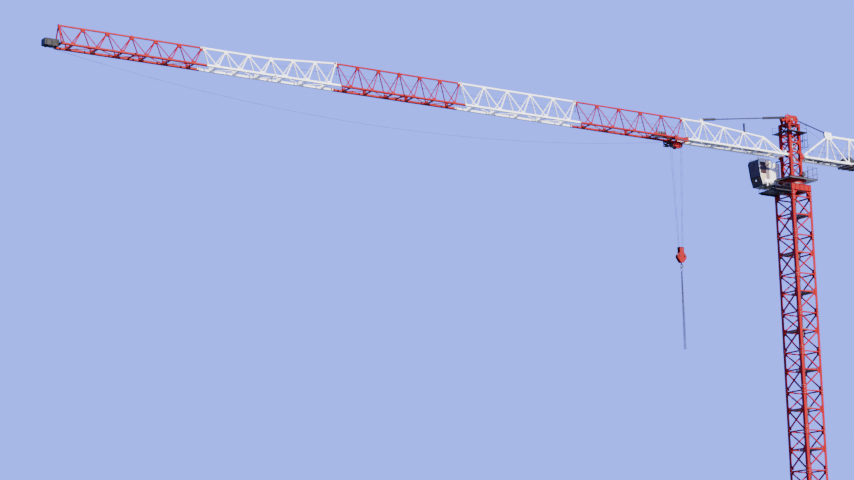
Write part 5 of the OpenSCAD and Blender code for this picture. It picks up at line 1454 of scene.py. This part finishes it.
def hook_block():
    """Two waisted cheek plates with edge flats, a top plate, two sheaves, a cross head and their bolts."""
    part = Mesh()
    tx, z1, z0 = TROLLEY_X, HOOK_TOP, HOOK_EYE
    r, z_axle = 85, HOOK_TOP - 335
    part.pad(tx, 0, 112, 72, z1 - 30, z1, 1, 5)
    for x in (-60, 25):
        part.box((tx + x, -62, z0 + 10), (tx + x + 35, 62, z0 + 110), 0, 4)
    for y in (-62, 26):
        part.box((tx - 26, y, z0 + 12), (tx + 26, y + 36, z0 + 108), 0, 4)
    for x in (tx - 108, tx + 108):
        part.rod((x, -72, z_axle), (x, 72, z_axle), 18, 24, 2)
        for s in SIDES:
            y = s * 26
            part.lathe([(40, 0), (r - 2, 3), (r - 1, 11), (r - 2, 19), (40, 22)], (x, y - 11, z_axle), Y_AXIS,
                       44, 2)
            part.torus((x, y, z_axle), Y_AXIS, r - 1, 6, 44, 8, 2)
            part.lathe([(34, 0), (34, 8), (26, 12)], (x, s * 68, z_axle), (0, s, 0), 28, 1)
            part.hex_bolt((x, s * 80, z_axle), (0, s, 0), 24, 8, 2, False)
    for s in SIDES:
        part.upright(s * 60, [(tx + x, z1 + z) for x, z in CHEEK], 14)
        rim = [(tx + x * 0.94, s * 70, z1 + z * 0.98 - 6) for x, z in CHEEK]
        for a, b in zip(rim, rim[1:] + rim[:1]):
            part.bar(a, b, 12, 7)
        for x in (-36, 36):
            for z in (-80, -150, -520):
                part.hex_bolt((tx + x, s * 67, z1 + z), (0, s, 0), 20, 9, 2)
        for x in (-70, 0, 70):
            part.rod((tx + x, 0, z1 - 215), (tx + x, s * 60, z1 - 215), 11, 12, 2)
    piece = part.done("hook_block_body", RED, DARK, STEEL, body="block")
    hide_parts("hook_block")


def hook_piece():
    """Forged hook: shank, neck, bowl of swelling oval section and drawn-out tip, with a spring latch."""
    part = Mesh()
    x, z = TROLLEY_X, HOOK_EYE
    part.rod((x, 0, THROAT_Z + 60), (x, 0, z + 140), 24, 40, 0, 4)
    part.lathe([(38, 0), (42, 4), (42, 26), (38, 30)], (x, 0, z + 110.3), UP, 6, 0, False)
    part.lathe([(30, 0), (40, 6), (40, 25), (34, 29)], (x, 0, z - 20), UP, 40)
    rings = []
    for t in np.linspace(0, 1, 45):
        angle = math.radians(90 + 268 * t)
        swell = math.sin(math.pi * min(1, t / 0.95)) ** 0.8
        taper, curl = max(0, (t - 0.6) / 0.4), max(0, (t - 0.85) / 0.15)
        depth = 23 + 7 * swell - 15 * taper ** 1.6
        width = 23 + 3 * swell - 13 * taper ** 1.5
        out = Vector((math.cos(angle), 0, math.sin(angle)))
        centre = Vector((x, 0, THROAT_Z)) + out * (62 + 10 * curl ** 2)
        rings.append([centre + out * depth * (c if c > 0 else 0.92 * c) + Vector((0, width * s, 0))
                      for c, s in around(24, 1)])
    part.loft(rings)
    latch, tip = Vector((x + 26, 0, THROAT_Z + 66)), Vector((x + 60, 0, THROAT_Z + 8))
    part.bar(latch, tip, 20, 4, 1)
    part.rod(latch - Vector((0, 19, 0)), latch + Vector((0, 19, 0)), 5, 12, 1, 1)
    coils = 2 * math.pi * 6
    part.tube([(latch.x + 6 * math.cos(a), -14 + a * 28 / coils, latch.z + 6 * math.sin(a))
               for a in np.linspace(0, coils, 73)], 1.2, 6, 1)
    hook = part.done("forged_hook", STEEL, DARK, body="hook_set")
    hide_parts("hook")


# Ropes and chains


# Ends of the rope pieces, as shares of the way
KNOTS = (0, 0.01, 0.03, 0.07, 0.15, 0.3, 0.5, 0.7, 0.85, 0.93, 0.97, 0.99, 1)


def stretching_ropes(name, lines, start, end, rings):
    """Ropes in short pieces, which are shorter near the ends.

    Each line gives a ring of the rope for its share of the way along it. The arguments start and end are not
    used. Returns the first piece.
    """
    start, end = Vector(start), Vector(end)
    made = []
    for i, (a, b) in enumerate(zip(KNOTS, KNOTS[1:])):
        part = Mesh()
        count = max(2, int(rings * (b - a)) + 1)
        for line in lines:
            part.loft([line(a + (b - a) * j / count) for j in range(count + 1)])
        obj = part.done(f"{name}_{i + 1:02d}", ROPE, ride=False)
        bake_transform(obj)
        made.append(obj)
    return made[0]


def ring_at(centre, level):
    """Ring of a rope across the X axis, for a level rope, or across the Z axis, for an upright one."""
    x, y, z = centre
    return [(x, y + c, z + s) if level else (x + c, y + s, z) for c, s in around(10, ROPE_R)]


def hoist_ropes():
    """The hoist rope's two runs along the jib and its four falls."""
    guide = Vector((GUIDE_X + 1, ROPE_Y, JIB_Z - 47))
    near = Vector((TROLLEY_X - SHEAVE_X, -SHEAVE_Y, SHEAVE_Z + SHEAVE_R + ROPE_R + 0.3))
    inner = stretching_ropes("hoist_rope_inner", [lambda t: ring_at(guide.lerp(near, t), True)],
                             (guide.x, 0, 0), (near.x, 0, 0), 12)
    arm = Vector((TROLLEY_X + ARM_X + 0.5, 0, JIB_Z - 145))
    anchor = Vector((JIB_TIP + 379.5, 0, JIB_Z - 95))
    sag = 1000

    def hanging(t):
        return ring_at(anchor.lerp(arm, t) - Vector((0, 0, 4 * sag * t * (1 - t))), True)

    def fall(sx, sy):
        top = Vector((TROLLEY_X + sx * (FALL_X + ROPE_R + 0.3), sy * SHEAVE_Y, SHEAVE_Z))
        foot = Vector((TROLLEY_X + sx * 88, sy * 26, HOOK_TOP + 0.5))
        return lambda t: ring_at(top.lerp(foot, t), False)

    stretching_ropes("hoist_rope_outer", [hanging], (anchor.x, 0, 0), (arm.x, 0, 0), 90)
    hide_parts("hoist_rope")
    falls = stretching_ropes("rope_falls", [fall(sx, sy) for sx, sy in CORNERS],
                             (0, 0, SHEAVE_Z), (0, 0, HOOK_TOP + 0.5), 12)
    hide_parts("rope_falls")


def chain_leg(sx, sy):
    """Welded links, each turned a quarter from the one above it, and the leg's centre line."""
    top = Vector((TROLLEY_X + sx * 13, sy * 13, SLING_TOP))
    foot = Vector((TROLLEY_X + sx * SLING_FOOT, sy * SLING_FOOT, SLING_TOP - SLING_L))
    wire, bend = 4.6, 10.5
    count = round((foot - top).length / 26)
    straight = (foot - top).length / count - 2 * (bend - wire)
    link = [Vector((bend * math.cos(a), 0, end * straight / 2 + bend * math.sin(a)))
            for end, first in ((1, 0), (-1, math.pi)) for a in np.linspace(first, first + math.pi, 6)]
    shape, part = Mesh(), Mesh()
    shape.tube(link, wire, 5, 0, True)
    rot = frame_of(foot - top)
    for i in range(count):
        turn = Matrix.Rotation(math.radians(90 * (i % 2) + 45), 3, "Z")
        part.place(shape, rot @ turn, top.lerp(foot, (i + 0.5) / count))
    return part, [top.lerp(foot, t / 20) * MM for t in range(21)]


def chain_sling():
    """Four chain legs that hang from the master link, and their collars."""
    collars = Mesh()
    for number, (sx, sy) in enumerate(CORNERS, 1):
        part, path = chain_leg(sx, sy)
        leg = part.done(f"chain_leg_{number}", CHAIN, body="hook_set")
        if number == 1:
            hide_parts("chain_sling")
        x, y, z = TROLLEY_X + sx * SLING_FOOT, sy * SLING_FOOT, SLING_TOP - SLING_L
        collars.lathe([(9, 0), (13, 4), (13, 16), (9, 20)], (x, y, z - 4), (0, 0, -1), 16)
        collars.lathe([(9, 0), (11, 3), (11, 9), (9, 12)], (x, y, z - 44), (0, 0, -1), 16)
    collars.done("leg_hook_collars", CHAIN, body="hook_set")


# Finishes of the CAD solids

FINISHES = {"red_paint": RED, "white_paint": WHITE, "dark_paint": DARK, "galvanised": ZINC,
            "dark_steel": STEEL, "rope_steel": ROPE, "chain_steel": CHAIN, "cab_glass": GLASS,
            "concrete": CONCRETE}
# Painted shade: the collar's landing and the cab's underside are darkened in their own finishes, and the
# hoist winch takes the near-black dark paint because it lies in shade under the counter-jib.
OWN_FINISHES = {"mast_collar": COLLAR_RED_PAINTED_SHADE, "service_platform": DULL_ZINC, "hoist_winch": DARK,
                "cab_body": CAB_WHITE_PAINTED_SHADE, "mast_access": DULL_ZINC}


def dress_nodes():
    """Gives every CAD solid the finish of its material slot, or the finish listed for it by name, some of
    which carry painted shade.
    """
    for name, node in NODES.items():
        for place in node.material_slots:
            place.material = OWN_FINISHES.get(name, FINISHES[place.material.name.split(".")[0]])


# Stage, light and camera


def floor():
    """Plain pale floor under the base."""
    part = Mesh()
    part.pad(0, 0, 400000, 400000, -80, -2)
    n = Nodes("floor")
    tone = n.ramp(n.noise(0.05, 2), (0.3, (0.105, 0.130, 0.165)), (0.7, (0.120, 0.145, 0.180)))
    rough = n.ramp(n.noise(0.4, 2), (0.3, 0.8), (0.7, 0.9))
    part.done("floor", n.finish(tone, rough), ride=False)


def light():
    """Soft sky all round and a soft key lamp from the crane's +Y side."""
    world = bpy.data.worlds.new("sky")
    world.use_nodes = True
    bpy.context.scene.world = world
    sky = world.node_tree.nodes["Background"]
    sky.inputs["Color"].default_value = (0.36, 0.54, 2.6, 1)
    sky.inputs["Strength"].default_value = 1.0
    for name, energy, angle, colour, toward in (("key", 19, 2.5, (1.0, 0.93, 0.75), (-0.16, 0.82, 0.55)),
                                                ("fill", 2.0, 30, (0.8, 0.88, 1.0), (-0.7, -0.6, 0.35))):
        lamp = bpy.data.lights.new(name, "SUN")
        lamp.energy = energy
        lamp.angle = math.radians(angle)
        lamp.color = colour
        obj = bpy.data.objects.new(name, lamp)
        bpy.context.scene.collection.objects.link(obj)
        obj.rotation_mode = "QUATERNION"
        obj.rotation_quaternion = Vector(toward).to_track_quat("Z", "Y")


def camera():
    """Long lens low down and far off, looking up at the crane as the photograph does."""
    focal_px, width_px = 2072.42, 854
    pan, pitch, roll = -0.1795, 0.20387, -0.02055
    distance, bearing, height = 79.4595, 0.81640, 0.6265
    ahead0 = Vector((-math.cos(bearing), -math.sin(bearing), 0))
    right0 = Vector((ahead0.y, -ahead0.x, 0))
    up = Vector(UP)
    level = ahead0 * math.cos(pan) + right0 * math.sin(pan)
    right = right0 * math.cos(pan) - ahead0 * math.sin(pan)
    ahead = level * math.cos(pitch) + up * math.sin(pitch)
    above = up * math.cos(pitch) - level * math.sin(pitch)
    x_axis = right * math.cos(roll) + above * math.sin(roll)
    y_axis = above * math.cos(roll) - right * math.sin(roll)
    lens = bpy.data.cameras.new("camera")
    lens.sensor_width = 36
    lens.lens = 36 * focal_px / width_px
    lens.clip_start, lens.clip_end = 0.5, 2000
    obj = bpy.data.objects.new("camera", lens)
    bpy.context.scene.collection.objects.link(obj)
    turn = Matrix((x_axis, y_axis, -ahead)).transposed().to_4x4()
    place = Matrix.Translation((distance * math.cos(bearing), distance * math.sin(bearing), height))
    obj.matrix_world = place @ turn
    bpy.context.scene.camera = obj


base_details()
mast_bolts()
mast_gussets()
mast_access_details()
collar_details()
turntable_details()
head_gussets()
head_pins()
head_ladder()
cab_windows()
cab_sides()
cab_roof()
cab_floor()
cabinet_details()
for section in range(1, 7):
    jib_section(section)
jib_details()
counter_deck()
counter_front()
jib_tie_details()
walkway_details()
trolley_winch()
post_details()
nose_details()
counter_details()
hoist_winch_details()
trolley_frame()
trolley_details()
hook_block()
hook_piece()
hoist_ropes()
chain_sling()
dress_nodes()
floor()
light()
camera()
